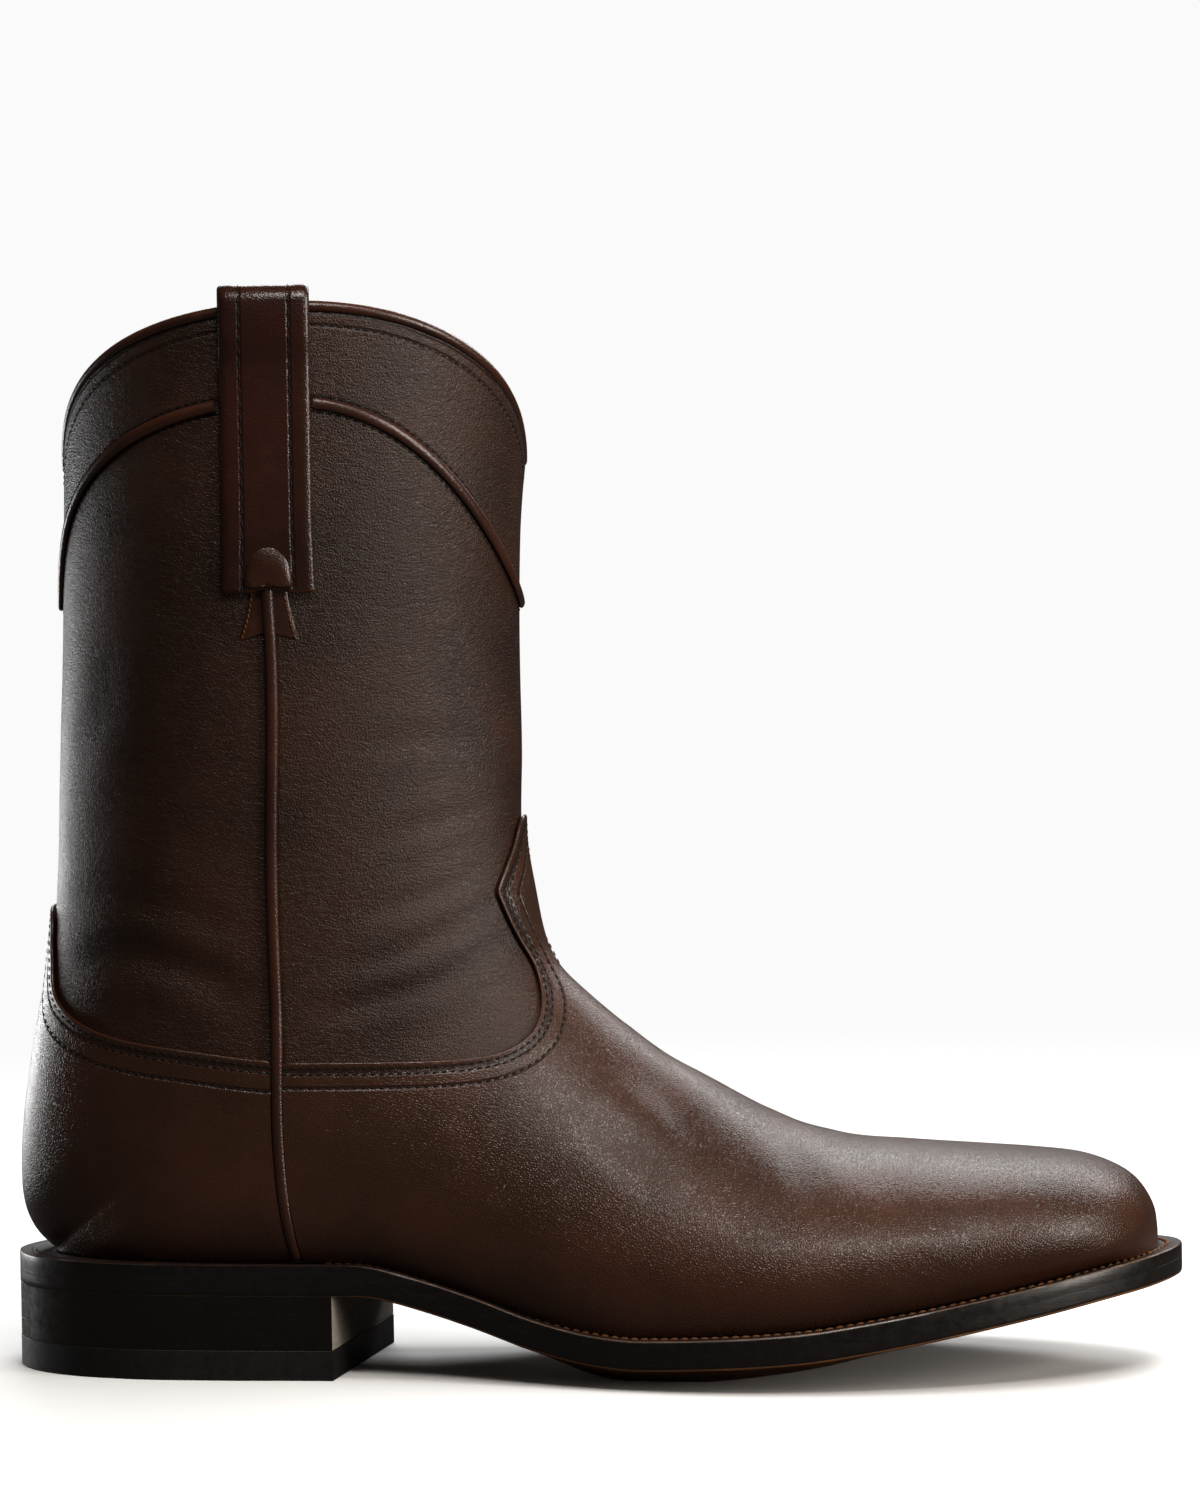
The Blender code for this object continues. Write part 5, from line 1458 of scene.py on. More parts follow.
@dataclass
class Trim:
    """Piping, collar binding and pull straps."""

    last: Last
    shop: Workshop
    upper: Upper
    piping_width: float = 3.1
    piping_height: float = 1.9
    side_piping_rise: float = 1.0
    yoke_piping_rise: float = 0.55
    binding_width: float = 2.8
    strap_place: float = 0.441
    strap_width: float = 23.6
    strap_thickness: float = 2.0
    strap_length: float = 78.0
    strap_inner_length: float = 46.0
    loop_rise: float = 1.6
    foot_flare: float = 0.05
    foot_length: float = 16.0
    ease_length: float = 6.0
    row_place: float = 0.54
    tab_width: float = 13.0
    tab_height: float = 11.6
    tab_thickness: float = 0.8
    gusset_top: float = 9.5
    gusset_foot: float = 16.0
    gusset_height: float = 14.0
    seam_turn: float = 0.17

    def __post_init__(self) -> None:
        """Work out where the straps lie."""
        self.strap_x = self.last.shaft_back + self.strap_place * self.last.shaft_depth
        self.peak = self.last.dip_height + self.last.collar_rise
        self.strap_bottom = (self.peak + self.binding_width + self.last.gap + self.loop_rise
                             + self.strap_thickness - self.strap_length)
        inside = self.upper.whole.at(-self.last.wall)
        self.lining = Surface(self.last, *self.upper.whole.skin(inside))

    def build(self) -> None:
        """Make every piece of the trim."""
        self._side_piping()
        self._yoke_piping()
        self._binding()
        for side, label in ((LATERAL, "lateral"), (MEDIAL, "medial")):
            self._strap(side, label)
            self._gusset(side, label)

    def _side_piping(self) -> None:
        """The raised side seams."""
        for side, label in ((LATERAL, "lateral"), (MEDIAL, "medial")):
            line = self.upper.side_seam(side, high=self.strap_bottom + 1.5)
            made = self.shop.bead(f"side_seam_{label}", line.lifted(self.side_piping_rise).smooth(10),
                                  self.piping_width, self.piping_height, Finish.TRIM, ends=1.0)
            self.shop.hand_over(made, "trim", f"side_piping_{label}")

    def _yoke_piping(self) -> None:
        """The raised yoke seam, in front of and behind the straps, with its stitches."""
        whole = self.upper.yoke_seam()
        straight = self.last.turn(whole.places, -self.last.twist_at(whole.places[:, 2]))
        clear = 0.5 * self.strap_width + 0.3
        rows = []
        for facing, label in ((1, "front"), (-1, "back")):
            keep = np.flatnonzero(facing * (straight[:, 0] - self.strap_x) >= clear)
            if facing < 0:
                keep = np.roll(keep, -int(np.argmax(np.diff(keep))) - 1)
            line = Path(whole.places[keep], whole.outs[keep]).spaced(1.0).smooth(6)
            made = self.shop.bead(f"yoke_seam_{label}", line.lifted(self.yoke_piping_rise),
                                  self.piping_width, self.piping_height, Finish.TRIM)
            self.shop.hand_over(made, "trim", f"yoke_piping_{label}")
            for lean in (1.0, -1.0):
                rows.append(line.beside(2.1, self.upper.skin, np.array((0.0, 0.0, lean))))
        made = self.shop.stitches("yoke_stitches", rows, Finish.DARK_THREAD, 2.4, (1.7, 0.55, 0.40))
        self.shop.hand_over(made, "trim")

    def _binding(self) -> None:
        """The rolled edge of the collar and the stitches below it."""
        wall = 0.5 * (self.upper.whole.at(0.0)[-1] + self.upper.whole.at(-self.last.wall)[-1])
        middle = wall[:-1]
        ahead = unit(np.roll(middle, -1, axis=0) - np.roll(middle, 1, axis=0))
        above = unit(np.array((0.0, 0.0, 1.0)) - ahead * ahead[:, 2:])
        line = Path(middle + above * (0.5 * self.binding_width + 0.1), above)
        made = self.shop.bead("collar_roll", line, self.binding_width + 0.3, self.binding_width + 0.2,
                              Finish.TRIM, closed=True, sides=16)
        self.shop.hand_over(made, "trim", "collar_binding")
        rim = self.upper.whole.at(0.0)[-1]
        rim_line = Path(rim, self.upper.whole.facing[-1])
        row = rim_line.beside(3.4, self.upper.skin, np.array((0.0, 0.0, -1.0)))
        thread = self.shop.stitches("collar_stitches", [row], Finish.DARK_THREAD, 2.3, (1.6, 0.5, 0.36))
        self.shop.hand_over(thread, "trim")

    def _strap_line(self, side: int, share: float) -> tuple[np.ndarray, np.ndarray]:
        """One line of a strap from its outer to its inner end: places and outward headings.

        Args:
            side: the strap's side.
            share: across the strap, from -1 to 1.

        Returns:
            Places under the strap and headings, in the frame before the twist.
        """
        proud = 0.5 * (self.binding_width - self.last.wall) + self.last.gap
        legs_top = self.peak - self.ease_length
        away = np.array((0.0, side, 0.0))
        places: list[np.ndarray] = []
        headings: list[np.ndarray] = []

        def leg(bottom: float, rows: int, start_y: float, heading: np.ndarray) -> list[np.ndarray]:
            """Places up one leg, easing out to pass the binding."""
            line = []
            for z in np.linspace(bottom, legs_top, rows):
                low = max(self.strap_bottom + self.foot_length - z, 0.0) / self.foot_length
                x = self.strap_x + share * 0.5 * self.strap_width * (1.0 + self.foot_flare * low)
                skin = self.upper.skin if start_y else self.lining
                ray = -np.sign(start_y) if start_y else side
                found = skin.straight((x, start_y, z), (0.0, ray, 0.0))
                ease = max(1.0 + (z - legs_top) / self.ease_length, 0.0)
                ease = ease * ease * (3.0 - 2.0 * ease)
                line.append(found[0] + heading * (0.15 + (proud + 0.35) * ease))
            return line

        outer = leg(self.strap_bottom, 26, side * RAY_REACH, away)
        inner = leg(self.peak - self.strap_inner_length, 14, 0.0, -away)
        middle = 0.5 * (outer[-1] + inner[-1])
        reach = 0.5 * abs(outer[-1][1] - inner[-1][1])
        middle[2] = self.peak + self.binding_width + 2.0 * self.last.gap + self.loop_rise - reach
        places += outer
        headings += [away] * len(outer)
        for angle in np.linspace(0.0, math.pi, 17):
            heading = away * math.cos(angle) + np.array((0.0, 0.0, math.sin(angle)))
            places.append(middle + heading * reach)
            headings.append(heading)
        places += inner[::-1]
        headings += [-away] * len(inner)
        return np.array(places), np.array(headings)

    def _to_boot(self, places: np.ndarray) -> np.ndarray:
        """Places of the straight shaft after its twist."""
        return self.last.turn(places, self.last.twist_at(places[..., 2]))

    def _strap(self, side: int, label: str) -> None:
        """A folded strap with rolled edges, its two rows of stitches and its foot tab."""
        half = 9
        turn = np.linspace(-np.pi / 2, np.pi / 2, 7)
        bulge = 0.5 * self.strap_thickness / (0.5 * self.strap_width)
        flat = np.linspace(-1.0 + bulge, 1.0 - bulge, 2 * half + 1)
        profile = [(u, 1.0) for u in flat]
        profile += [(1.0 - bulge + bulge * math.cos(a), 0.5 + 0.5 * math.sin(a)) for a in turn[::-1][1:-1]]
        profile += [(u, 0.0) for u in flat[::-1]]
        profile += [(-1.0 + bulge - bulge * math.cos(a), 0.5 + 0.5 * math.sin(a)) for a in turn[1:-1]]
        rings = []
        for u, v in profile:
            places, headings = self._strap_line(side, u)
            pad = 0.22 * math.exp(-((abs(u) - 0.80) / 0.16) ** 2) if v == 1.0 else 0.0
            rings.append(places + headings * (v * self.strap_thickness + pad))
        grid = self._to_boot(np.array(rings))
        around, along, _ = grid.shape
        faces = [(a * along + b, (a + 1) % around * along + b,
                  (a + 1) % around * along + b + 1, a * along + b + 1)
                 for a in range(around) for b in range(along - 1)]
        top = len(flat)
        for b in (0, along - 1):
            ring = [a * along + b for a in range(around)]
            upper_edge = ring[:top]
            lower_edge = ring[top + 5:top + 5 + top][::-1]
            faces.append(tuple(ring[top - 1:top + 6]))
            faces.append(tuple([lower_edge[0]] + ring[top + 5 + top:] + [ring[0]]))
            for k in range(top - 1):
                faces.append((upper_edge[k], upper_edge[k + 1], lower_edge[k + 1], lower_edge[k]))
        made = self.shop.piece(f"strap_{label}", grid.reshape(-1, 3), faces, (Finish.STRAP,), sharp=50.0)
        rows = []
        for share in (-self.row_place, self.row_place):
            places, headings = self._strap_line(side, share)
            line = self._to_boot(places + headings * (self.strap_thickness + 0.02))
            outs = self.last.turn(headings, self.last.twist_at(places[:, 2]), 0.0)
            rows.append(Path(line, outs).spaced(1.0))
        half_width = 0.5 * self.strap_width
        from_row = [(abs(u) - self.row_place) * half_width for u, _ in profile]
        self.shop.store(made, "row_mm", np.repeat(from_row, along))
        self.shop.hand_over(made, "trim", f"pull_strap_{label}")
        thread = self.shop.stitches(f"strap_stitches_{label}", rows, Finish.DARK_THREAD, 3.4,
                                    (2.2, 0.62, 0.42))
        self.shop.hand_over(thread, "trim")
        self._strap_tab(side, label)

    def _strap_face(self, side: int, x: float, z: float, lift: float) -> np.ndarray:
        """A place over the skin of the straight shaft, beside the strap's foot."""
        place, _ = self.upper.skin.straight((x, side * RAY_REACH, z), (0.0, -side, 0.0))
        return place + np.array((0.0, side * lift, 0.0))

    def _strap_tab(self, side: int, label: str) -> None:
        """The half-round tab sewn on the foot of the strap, arched over the piping."""
        rings, spokes = 6, 28
        base = self.strap_thickness + 0.05
        layers = []
        for height in (0.0, 1.0):
            for r in range(rings + 1):
                share = r / rings
                lift = base + height * self.tab_thickness * math.sqrt(max(1.0 - share ** 6, 0.0)) + 0.10
                lift -= 0.5 * (1.0 - height)
                for k in range(spokes):
                    angle = 2.0 * math.pi * k / spokes
                    x = 0.5 * self.tab_width * math.cos(angle) * share
                    up = self.tab_height * 0.86 * max(math.sin(angle), 0.0)
                    down = 0.5 * max(-math.sin(angle), 0.0)
                    z = self.strap_bottom + 1.0 + (up - down) * share
                    notch = 1.6 * math.exp(-(x / 2.2) ** 2) * max(-math.sin(angle), 0.0) * share
                    layers.append(self._strap_face(side, self.strap_x + x, z + notch, lift))
        points = self._to_boot(np.array(layers))
        faces = []
        total = (rings + 1) * spokes
        for layer in (0, 1):
            start = layer * total
            for r in range(rings):
                for k in range(spokes):
                    n = (k + 1) % spokes
                    a, b = start + r * spokes + k, start + r * spokes + n
                    c, d = b + spokes, a + spokes
                    faces.append((a, b, c, d) if r else (a, c, d))
        for k in range(spokes):
            n = (k + 1) % spokes
            a, b = rings * spokes + k, rings * spokes + n
            faces.append((a, b, total + b, total + a))
        made = self.shop.piece(f"strap_tab_{label}", points, faces, (Finish.TRIM,), sharp=60.0)
        work = bmesh.new()
        work.from_mesh(made.data)
        bmesh.ops.remove_doubles(work, verts=work.verts, dist=1e-6)
        bmesh.ops.recalc_face_normals(work, faces=work.faces)
        work.to_mesh(made.data)
        work.free()
        self.shop.hand_over(made, "trim")

    def _gusset_spot(self, side: int, u: float, t: float, lift: float) -> np.ndarray:
        """A place of the gusset, u from edge to edge and t from its top down."""
        width = self.gusset_top + (self.gusset_foot - self.gusset_top) * t ** 1.6
        x = self.strap_x + 0.5 * width * u
        z = self.strap_bottom + 1.0 - (self.gusset_height - 2.2 * (1.0 - abs(u))) * t
        return self._strap_face(side, x, z, lift)

    def _gusset(self, side: int, label: str) -> None:
        """The small stitched patch below a strap, under the side seam."""
        across, down = 14, 12
        layers = []
        for layer in (0.0, 1.0):
            for j in range(down + 1):
                for i in range(across + 1):
                    u = 2.0 * i / across - 1.0
                    rim = max(1.0 - (abs(u) ** 8), 0.0)
                    layers.append(self._gusset_spot(side, u, j / down, layer * (0.15 + 0.45 * rim) - 0.1))
        points = self._to_boot(np.array(layers))
        row = across + 1
        total = row * (down + 1)
        faces = []
        for layer in (0, 1):
            faces += [(layer * total + j * row + i, layer * total + j * row + i + 1,
                       layer * total + (j + 1) * row + i + 1, layer * total + (j + 1) * row + i)
                      for j in range(down) for i in range(across)]
        for j in range(down):
            for i in (0, across):
                k = j * row + i
                faces.append((k, k + row, total + k + row, total + k))
        for i in range(across):
            for j in (0, down):
                k = j * row + i
                faces.append((k, k + 1, total + k + 1, total + k))
        made = self.shop.piece(f"seam_gusset_{label}", points, faces, (Finish.TRIM,), sharp=60.0)
        self.shop.hand_over(made, "shaft")
        out = self.last.turn((0.0, side, 0.0), self.seam_turn, 0.0)
        rows = []
        for u in (-0.86, 0.86):
            places = [self._gusset_spot(side, u, t, 0.5) for t in np.linspace(0.06, 0.96, 14)]
            line = self._to_boot(np.array(places))
            rows.append(Path(line, np.zeros_like(line) + out))
        bottom = []
        for low, high in ((-1.0, -0.26), (0.34, 1.0)):
            places = [self._strap_face(side, self.strap_x + 0.5 * self.strap_width * 1.04 * u,
                                       self.strap_bottom - 0.2, 0.55)
                      for u in np.linspace(low, high, 10)]
            line = self._to_boot(np.array(places))
            bottom.append(Path(line, np.zeros_like(line) + out))
        thread = self.shop.stitches(f"strap_foot_stitches_{label}", rows, Finish.RAW_EDGE,
                                    1.3, (1.4, 0.5, 0.4), 14.0)
        for number, line in enumerate(bottom):
            raw = self.shop.bead(f"strap_raw_edge_{label}_{number + 1}", line, 0.9, 1.1, Finish.RAW_EDGE,
                                 sides=8, ends=0.6)
            self.shop.hand_over(raw, "trim")
        self.shop.hand_over(thread, "trim")


@dataclass
class Sole:
    """Outsole, welt, insole, stacked heel and top lift."""

    last: Last
    shop: Workshop
    stations: int = 130
    strips: int = 10
    rim_inset: float = 0.02
    inseam: float = 0.8
    insole_rise: float = 1.6
    heel_length: float = 90.0
    breast_skew: float = 6.0
    top_lift: float = 8.0
    lifts: int = 3
    welt_row: float = 3.9
    heel_rounding: float = 0.12
    heel_run_out: float = 18.0

    def build(self) -> None:
        """Make every piece of the sole."""
        self._outsole()
        self._welt()
        self._insole()
        self._heel()

    def rounding(self, x: np.ndarray) -> np.ndarray:
        """How far edges are rounded: hardly at the heel, ground flush, and fully ahead of it."""
        t = np.clip((np.asarray(x) - self.heel_length) / self.heel_run_out, 0.0, 1.0)
        return self.heel_rounding + (1.0 - self.heel_rounding) * t * t * (3.0 - 2.0 * t)

    def _ring(self, inset: Inset, base: Optional[np.ndarray] = None) -> tuple[np.ndarray, np.ndarray]:
        """The lateral and medial halves of an outline moved inwards, at even stations."""
        loop = self.last.outline if base is None else base
        loop = inset_loop(loop, inset(loop[:, 0]) if callable(inset) else inset)
        lateral, medial = halves(loop, 900)
        start, end = lateral[0, 0], lateral[-1, 0]
        t = 0.5 - 0.5 * np.cos(np.pi * np.arange(self.stations + 1) / self.stations)
        x = start + (end - start) * t
        near = np.stack([x, np.interp(x, lateral[:, 0], lateral[:, 1])], 1)
        far = np.stack([x, np.interp(x, medial[:, 0], medial[:, 1])], 1)
        near[0] = far[0] = lateral[0]
        near[-1] = far[-1] = lateral[-1]
        return near, far

    def _layers(self, rings: Sequence[tuple[Inset, Height]], base: Optional[np.ndarray] = None,
                ring_only: bool = False, dress: Sequence[int] = ()
                ) -> tuple[np.ndarray, list[tuple[int, ...]], list[int]]:
        """A sole layer from rings that run from its bottom to its top.

        Args:
            rings: for each ring its inset and its height from place and share across.
            base: the outline, the outsole's if it isn't given.
            ring_only: whether the layer is a band that closes on itself, such as the welt.
            dress: the material number of the faces above each ring, 0 if it isn't given.

        Returns:
            Places, faces, and for each face 0 for the edge and top and 1 for the bottom.
        """
        n = self.stations
        around = 2 * n
        points: list[tuple[float, float, float]] = []
        starts = []
        kept = []
        for inset, height in rings:
            near, far = self._ring(inset, base)
            loop = np.vstack([near, far[-2:0:-1]])
            starts.append(len(points))
            kept.append((near, far))
            z = height(loop[:, 0], np.ones(len(loop)))
            points += [(x, y, h) for (x, y), h in zip(loop, z)]
        faces: list[tuple[int, ...]] = []
        kinds: list[int] = []
        pairs = list(zip(starts, starts[1:]))
        if ring_only:
            pairs.append((starts[-1], starts[0]))
        for number, (low, high) in enumerate(pairs):
            for k in range(around):
                m = (k + 1) % around
                faces.append((low + k, low + m, high + m, high + k))
                kinds.append(dress[number] if number < len(dress) else 0)
        if ring_only:
            return np.array(points), faces, kinds
        for which, kind in ((0, 1), (-1, 0)):
            near, far = kept[which]
            height = rings[which][1]
            start = starts[which]
            table = np.zeros((n + 1, self.strips + 1), int)
            for k in range(n + 1):
                for s in range(self.strips + 1):
                    share = 2.0 * s / self.strips - 1.0
                    if k in (0, n) or s == 0:
                        table[k, s] = start + k
                    elif s == self.strips:
                        table[k, s] = start + around - k
                    else:
                        x, y = near[k] + (far[k] - near[k]) * 0.5 * (share + 1.0)
                        table[k, s] = len(points)
                        points.append((x, y, float(height(np.array(x), np.array(share)))))
            for k in range(n):
                for s in range(self.strips):
                    corners = dict.fromkeys((table[k, s], table[k, s + 1],
                                             table[k + 1, s + 1], table[k + 1, s]))
                    if len(corners) > 2:
                        faces.append(tuple(corners))
                        kinds.append(kind)
        return np.array(points), faces, kinds

    def _outsole(self) -> None:
        """The outsole, with rounded edges, a flat worn spot and a paler bottom."""
        last = self.last
        edge = last.sole_edge
        part = self.rounding
        rings = (
            (2.2, last.sole_bottom),
            (lambda x: 0.8 * part(x), lambda x, s: edge(x) + 0.02),
            (lambda x: 0.3 * part(x), lambda x, s: edge(x) + 0.25 * part(x)),
            (lambda x: 0.06 * part(x), lambda x, s: edge(x) + 0.7 * part(x)),
            (0.0, lambda x, s: edge(x) + 1.5),
            (0.0, lambda x, s: last.outsole_top(x) - 0.8),
            (lambda x: 0.01 * part(x), lambda x, s: last.outsole_top(x) - 0.03 * part(x)),
            (lambda x: 0.04 * part(x), lambda x, s: last.outsole_top(x)),
        )
        points, faces, kinds = self._layers(rings, dress=(1, 1, 1))
        made = self.shop.piece("outsole_edge", points, faces, (Finish.SOLE_EDGE, Finish.SOLE_BOTTOM),
                               kinds, sharp=28.0)
        self.shop.hand_over(made, "outsole", "outsole")

    def _welt(self) -> None:
        """The welt: a strip with a bevelled outer edge and a stitched channel; the rounded top of its outer
        edge is coloured pale, a painted highlight.
        """
        last = self.last
        low = lambda x, s: last.outsole_top(x) + 0.01
        top = last.welt_top
        share = curve_at(column(FEATHER_INSET, 0), column(FEATHER_INSET, 1),
                         last.outline[:, 0] / last.sole_length) * last.welt_reach
        inner = float(share.max()) + last.wall + self.inseam
        part = self.rounding
        rim = lambda x: self.rim_inset * part(x)
        rings = (
            (inner, low),
            (lambda x: rim(x) + 0.04 * part(x), low),
            (lambda x: rim(x) + 0.01 * part(x), lambda x, s: low(x, s) + 0.03 * part(x)),
            (rim, lambda x, s: low(x, s) + 0.9),
            (rim, lambda x, s: top(x) - 0.75),
            (lambda x: rim(x) + 0.12, lambda x, s: top(x) - 0.34 * part(x)),
            (lambda x: rim(x) + 0.12 + 0.3 * part(x), lambda x, s: top(x) - 0.02),
            (self.welt_row - 0.75, lambda x, s: top(x)),
            (self.welt_row - 0.35, lambda x, s: top(x) - 0.22),
            (self.welt_row + 0.35, lambda x, s: top(x) - 0.22),
            (self.welt_row + 0.75, lambda x, s: top(x)),
            (inner, lambda x, s: top(x)),
        )
        # Kind 2, the rounded top of the outer edge, takes the painted highlight
        points, faces, kinds = self._layers(rings, ring_only=True, dress=(0, 0, 0, 0, 0, 2, 1, 1, 1, 1, 1))
        made = self.shop.piece("welt_strip", points, faces, (Finish.SOLE_EDGE, Finish.WELT, Finish.WELT_RIM_PAINTED_HIGHLIGHT),
                               kinds, sharp=28.0)
        self.shop.hand_over(made, "welt", "welt")
        near, far = self._ring(self.welt_row)
        first = int(np.searchsorted(near[:, 0], self.heel_length - 4.0))
        loop = np.vstack([near[first:], far[-2:first:-1]])
        line = np.column_stack([loop, top(loop[:, 0]) - 0.05])
        row = Path(line, np.zeros_like(line) + (0.0, 0.0, 1.0)).spaced(1.0)
        thread = self.shop.stitches("welt_stitches", [row], Finish.WELT_THREAD, 2.7, (2.2, 0.95, 0.85), 14.0)
        self.shop.hand_over(thread, "welt")

    def _insole(self) -> None:
        """The insole inside the upper."""
        last = self.last
        shelf = inset_loop(last.feather, last.wall + self.inseam)
        bed = inset_loop(shelf, 2.0 * last.gap)
        top = lambda x, s: last.welt_top(x) + self.insole_rise
        rings = (
            (0.3, lambda x, s: last.outsole_top(x) + last.gap),
            (0.0, lambda x, s: last.outsole_top(x) + last.gap + 0.4),
            (0.0, lambda x, s: top(x, s) - 0.5),
            (0.5, top),
        )
        points, faces, _ = self._layers(rings, base=bed)
        made = self.shop.piece("insole_board", points, faces, (Finish.LINING,), sharp=60.0)
        self.shop.hand_over(made, "insole", "insole")

    def _heel_outline(self) -> np.ndarray:
        """The heel's outline: the sole's heel end, closed by the skewed breast."""
        lateral, medial = halves(self.last.outline, 900)
        near = resample(lateral[lateral[:, 0] < self.heel_length], 60)
        far = resample(medial[medial[:, 0] < self.heel_length + self.breast_skew], 60)
        return np.vstack([near, far[:0:-1]])

    def _block(self, name: str, low: float, high: float, bevel: float, finish: Finish, node: Sequence[str],
               slot: str, taper: float = 0.0) -> None:
        """One slab of the heel with rounded edges.

        Args:
            name: the piece's name.
            low: height of its bottom.
            high: height of its top.
            bevel: radius of its edges.
            finish: its material.
            node: the solids it stands for.
            slot: handed on with the piece, but not used.
            taper: how far its bottom is drawn in.
        """
        outline = self._heel_outline()
        centre = outline.mean(axis=0)
        middle = centre + (outline - centre) * (1.0 - 0.5 * taper)
        levels = ((bevel, low), (0.3 * bevel, low + 0.3 * bevel), (0.0, low + bevel),
                  (0.0, high - bevel), (0.3 * bevel, high - 0.3 * bevel), (bevel, high))
        count = len(outline)
        points = []
        for inset, z in levels:
            loop = centre + (middle - centre) * (1.0 - inset / 32.0)
            points += [(x, y, z) for x, y in loop]
        faces = [tuple(range(count))[::-1], tuple(range((len(levels) - 1) * count, len(levels) * count))]
        for r in range(len(levels) - 1):
            for k in range(count):
                n = (k + 1) % count
                faces.append((r * count + k, r * count + n, (r + 1) * count + n, (r + 1) * count + k))
        breast = int(np.linalg.norm(outline - np.roll(outline, -1, axis=0), axis=1).argmax())
        rough = 1 if finish is Finish.HEEL else 0
        slots = [0, 0] + [rough if k == breast else 0 for _ in range(len(levels) - 1) for k in range(count)]
        made = self.shop.piece(name, np.array(points), faces, (finish, Finish.BREAST), slots, sharp=18.0)
        self.shop.hand_over(made, slot, *node)

    def _heel(self) -> None:
        """The stacked lifts and the rubber top lift."""
        low = self.top_lift + 0.05
        high = self.last.heel_height - 0.05
        step = (high - low) / self.lifts
        for k in range(self.lifts):
            node = ("heel_stack",) if k == 0 else ()
            self._block(f"heel_lift_{k + 1}", low + k * step, low + (k + 1) * step, 0.03,
                        Finish.HEEL, node, "heel", 0.004)
        self._block("top_lift_rubber", 0.0, self.top_lift, 0.22, Finish.RUBBER, ("top_lift",), "top_lift")


@dataclass(frozen=True)
class AreaLight:
    """A soft box: where it stands, where it points, how large and how strong it is."""

    name: str
    place: tuple[float, float, float]
    aim: tuple[float, float, float]
    size: tuple[float, float]
    power: float
    colour: str = "#ffffff"
    in_gloss: bool = True

    def build(self) -> None:
        """Add the light."""
        data = bpy.data.lights.new(self.name, "AREA")
        data.shape = "RECTANGLE"
        data.size, data.size_y = self.size
        data.energy = self.power
        data.color = linear(self.colour)[:3]
        made = in_scene(self.name, data)
        made.location = self.place
        made.visible_glossy = self.in_gloss
        made.rotation_mode = "QUATERNION"
        made.rotation_quaternion = (Vector(self.aim) - Vector(self.place)).to_track_quat("-Z", "Y")


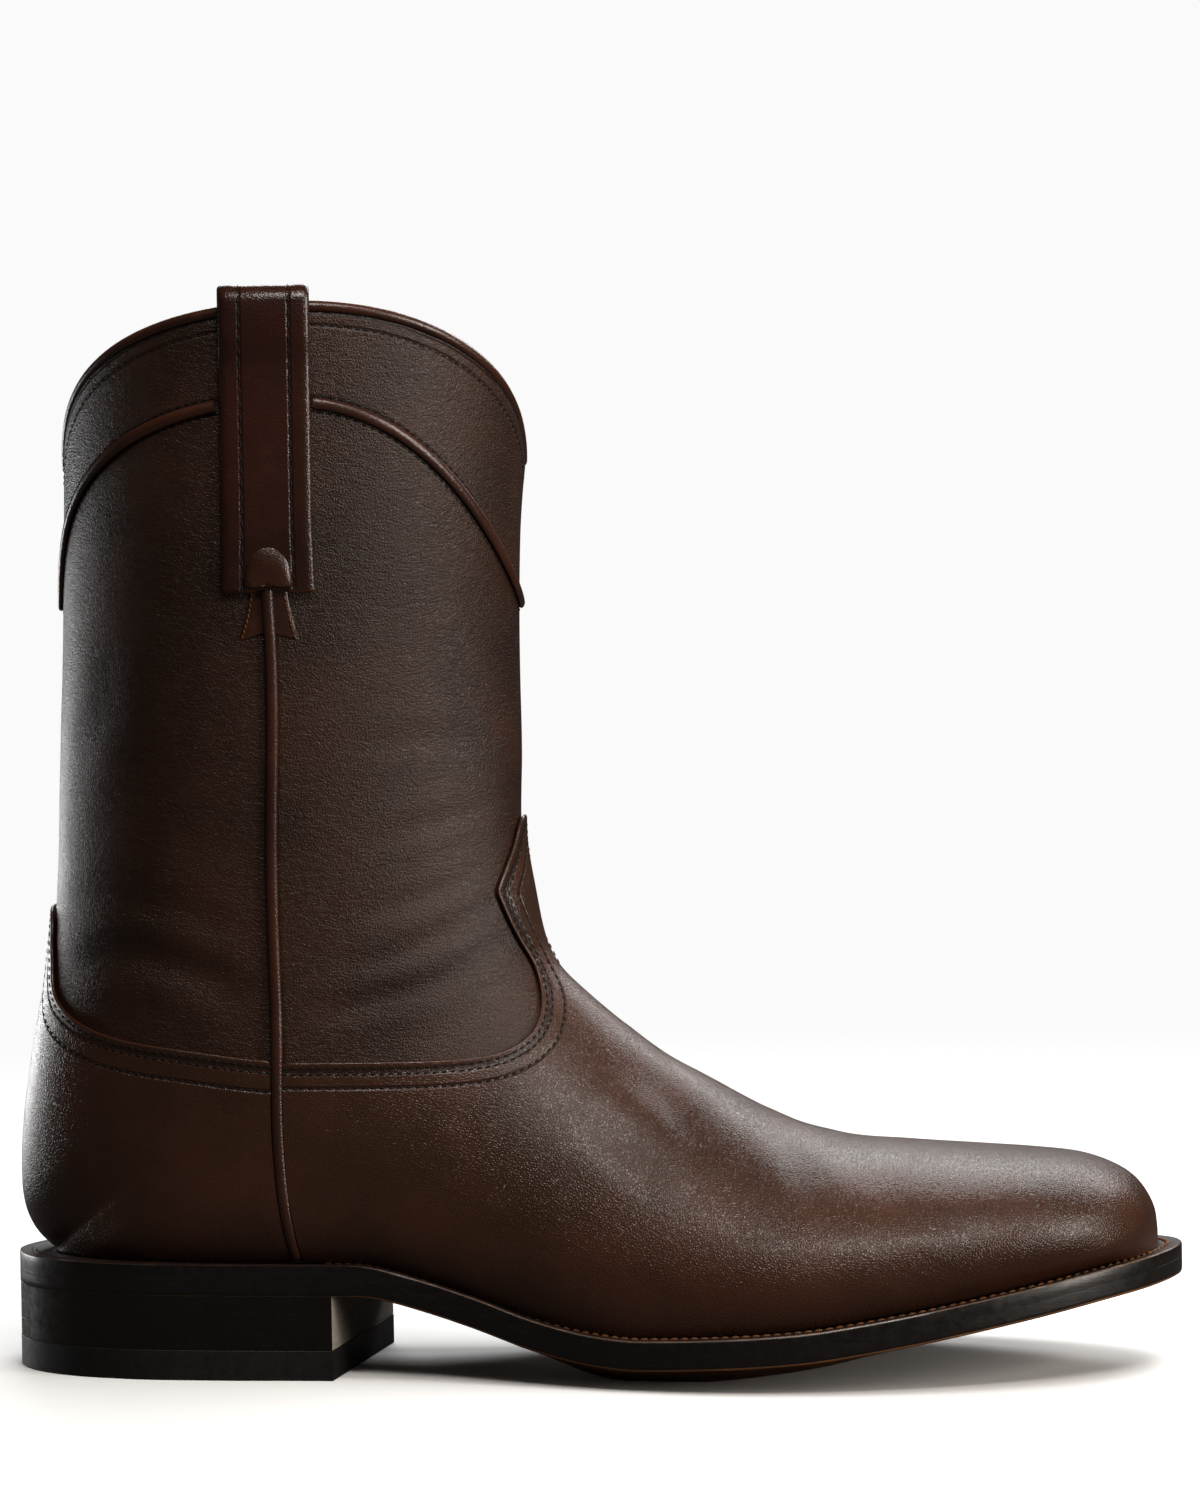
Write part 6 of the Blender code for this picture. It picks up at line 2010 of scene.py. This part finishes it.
@dataclass
class Studio:
    """The pale floor, the soft light and the camera at the photograph's angle."""

    last: Last
    shop: Workshop
    yaw: float = 7.0
    pitch: float = 3.6
    roll: float = 0.85
    distance: float = 1650.0
    pixels_per_mm: float = 3.79
    target: tuple[float, float, float] = (158.3, 0.0, 162.8)
    image_height: int = 1500
    sensor: float = 36.0
    backdrop: str = "#fafafa"
    floor: str = "#f2f2f1"
    floor_radius: float = 1.6
    floor_bounce: str = "#3c3836"
    lights: tuple[AreaLight, ...] = (
        AreaLight("top_box", (0.20, 0.05, 1.30), (0.0, 0.0, 0.1), (1.2, 0.9), 23.0, in_gloss=False),
        AreaLight("back_strip", (0.15, 1.00, 0.80), (0.0, 0.0, 0.12), (1.4, 0.40), 9.0),
        AreaLight("side_strip", (0.22, -0.74, 1.02), (0.06, 0.0, 0.06), (0.62, 0.20), 7.5, "#fff8f0"),
        AreaLight("toe_box", (1.05, -0.48, 0.40), (0.03, 0.0, 0.14), (0.45, 0.75), 11.0, "#fff6ec"),
        AreaLight("back_box", (-0.95, 0.60, 0.04), (-0.12, 0.0, 0.04), (0.9, 0.12), 3.2),
    )

    def build(self) -> None:
        """Set the camera, the floor, the background and the lights."""
        self._camera()
        self._floor()
        self._world()
        for light in self.lights:
            light.build()

    def _camera(self) -> None:
        """The camera at the photograph's angle, rolled as the photograph is."""
        a, e, r = (math.radians(v) for v in (self.yaw, self.pitch, self.roll))
        back = Vector((math.sin(a) * math.cos(e), -math.cos(a) * math.cos(e), math.sin(e)))
        right = Vector((math.cos(a), math.sin(a), 0.0))
        up = Vector((-math.sin(a) * math.sin(e), math.cos(a) * math.sin(e), math.cos(e)))
        across = right * math.cos(r) - up * math.sin(r)
        above = right * math.sin(r) + up * math.cos(r)
        data = bpy.data.cameras.new("camera")
        focal_pixels = self.distance * self.pixels_per_mm
        data.lens = focal_pixels / self.image_height * self.sensor
        data.sensor_width = self.sensor
        data.clip_start = 0.05
        data.clip_end = 50.0
        place = (Vector(self.target) + Vector(self.shop.shift) + back * self.distance) * MM
        turn = Matrix((across, above, back)).transposed().to_4x4()
        made = in_scene("camera", data)
        made.matrix_world = Matrix.Translation(place) @ turn
        bpy.context.scene.camera = made

    def _floor(self) -> None:
        """A pale floor that fades out into the background."""
        work = bmesh.new()
        bmesh.ops.create_circle(work, cap_ends=True, segments=96, radius=self.floor_radius)
        mesh = bpy.data.meshes.new("floor")
        work.to_mesh(mesh)
        work.free()
        made = in_scene("floor", mesh)
        material, tree, shader = new_material("floor_paper")
        shader.inputs["Base Color"].default_value = linear(self.floor)
        shader.inputs["Roughness"].default_value = 0.55
        seen = tree.nodes.new("ShaderNodeLightPath").outputs["Is Camera Ray"]
        dull = add_node(tree, "ShaderNodeBsdfDiffuse", color=linear(self.floor_bounce)).outputs[0]
        paper = add_node(tree, "ShaderNodeMixShader", _0=seen, _1=dull, _2=shader.outputs[0]).outputs[0]
        place = add_node(tree, "ShaderNodeTexCoord").outputs["Object"]
        away = add_node(tree, "ShaderNodeVectorMath", {"operation": "LENGTH"}, _0=place).outputs[1]
        fade = smooth_step(tree, away, 0.14 * self.floor_radius, 0.55 * self.floor_radius)
        clear = tree.nodes.new("ShaderNodeBsdfTransparent").outputs[0]
        mixed = add_node(tree, "ShaderNodeMixShader", _0=fade, _1=paper, _2=clear).outputs[0]
        tree.links.new(mixed, tree.nodes["Material Output"].inputs["Surface"])
        mesh.materials.append(material)

    def _world(self) -> None:
        """A plain pale background with a dim ambient light."""
        world = bpy.data.worlds.new("studio")
        bpy.context.scene.world = world
        world.use_nodes = True
        tree = world.node_tree
        tree.nodes.clear()
        shown = add_node(tree, "ShaderNodeBackground", color=linear(self.backdrop), strength=1.0).outputs[0]
        ambient = add_node(tree, "ShaderNodeBackground", color=linear("#ffffff"), strength=0.03).outputs[0]
        seen = tree.nodes.new("ShaderNodeLightPath").outputs["Is Camera Ray"]
        mixed = add_node(tree, "ShaderNodeMixShader", _0=seen, _1=ambient, _2=shown).outputs[0]
        add_node(tree, "ShaderNodeOutputWorld", surface=mixed)
        view = bpy.context.scene.view_settings
        view.view_transform = "Standard"
        view.look = "None"


def main() -> None:
    """Dress the boot and set the studio."""
    logging.basicConfig(level=logging.INFO, format="%(message)s")
    last = Last()
    shop = Workshop(last)
    upper = Upper(last, shop)
    upper.build()
    Trim(last, shop, upper).build()
    Sole(last, shop).build()
    Studio(last, shop).build()


if __name__ == "__main__":
    main()
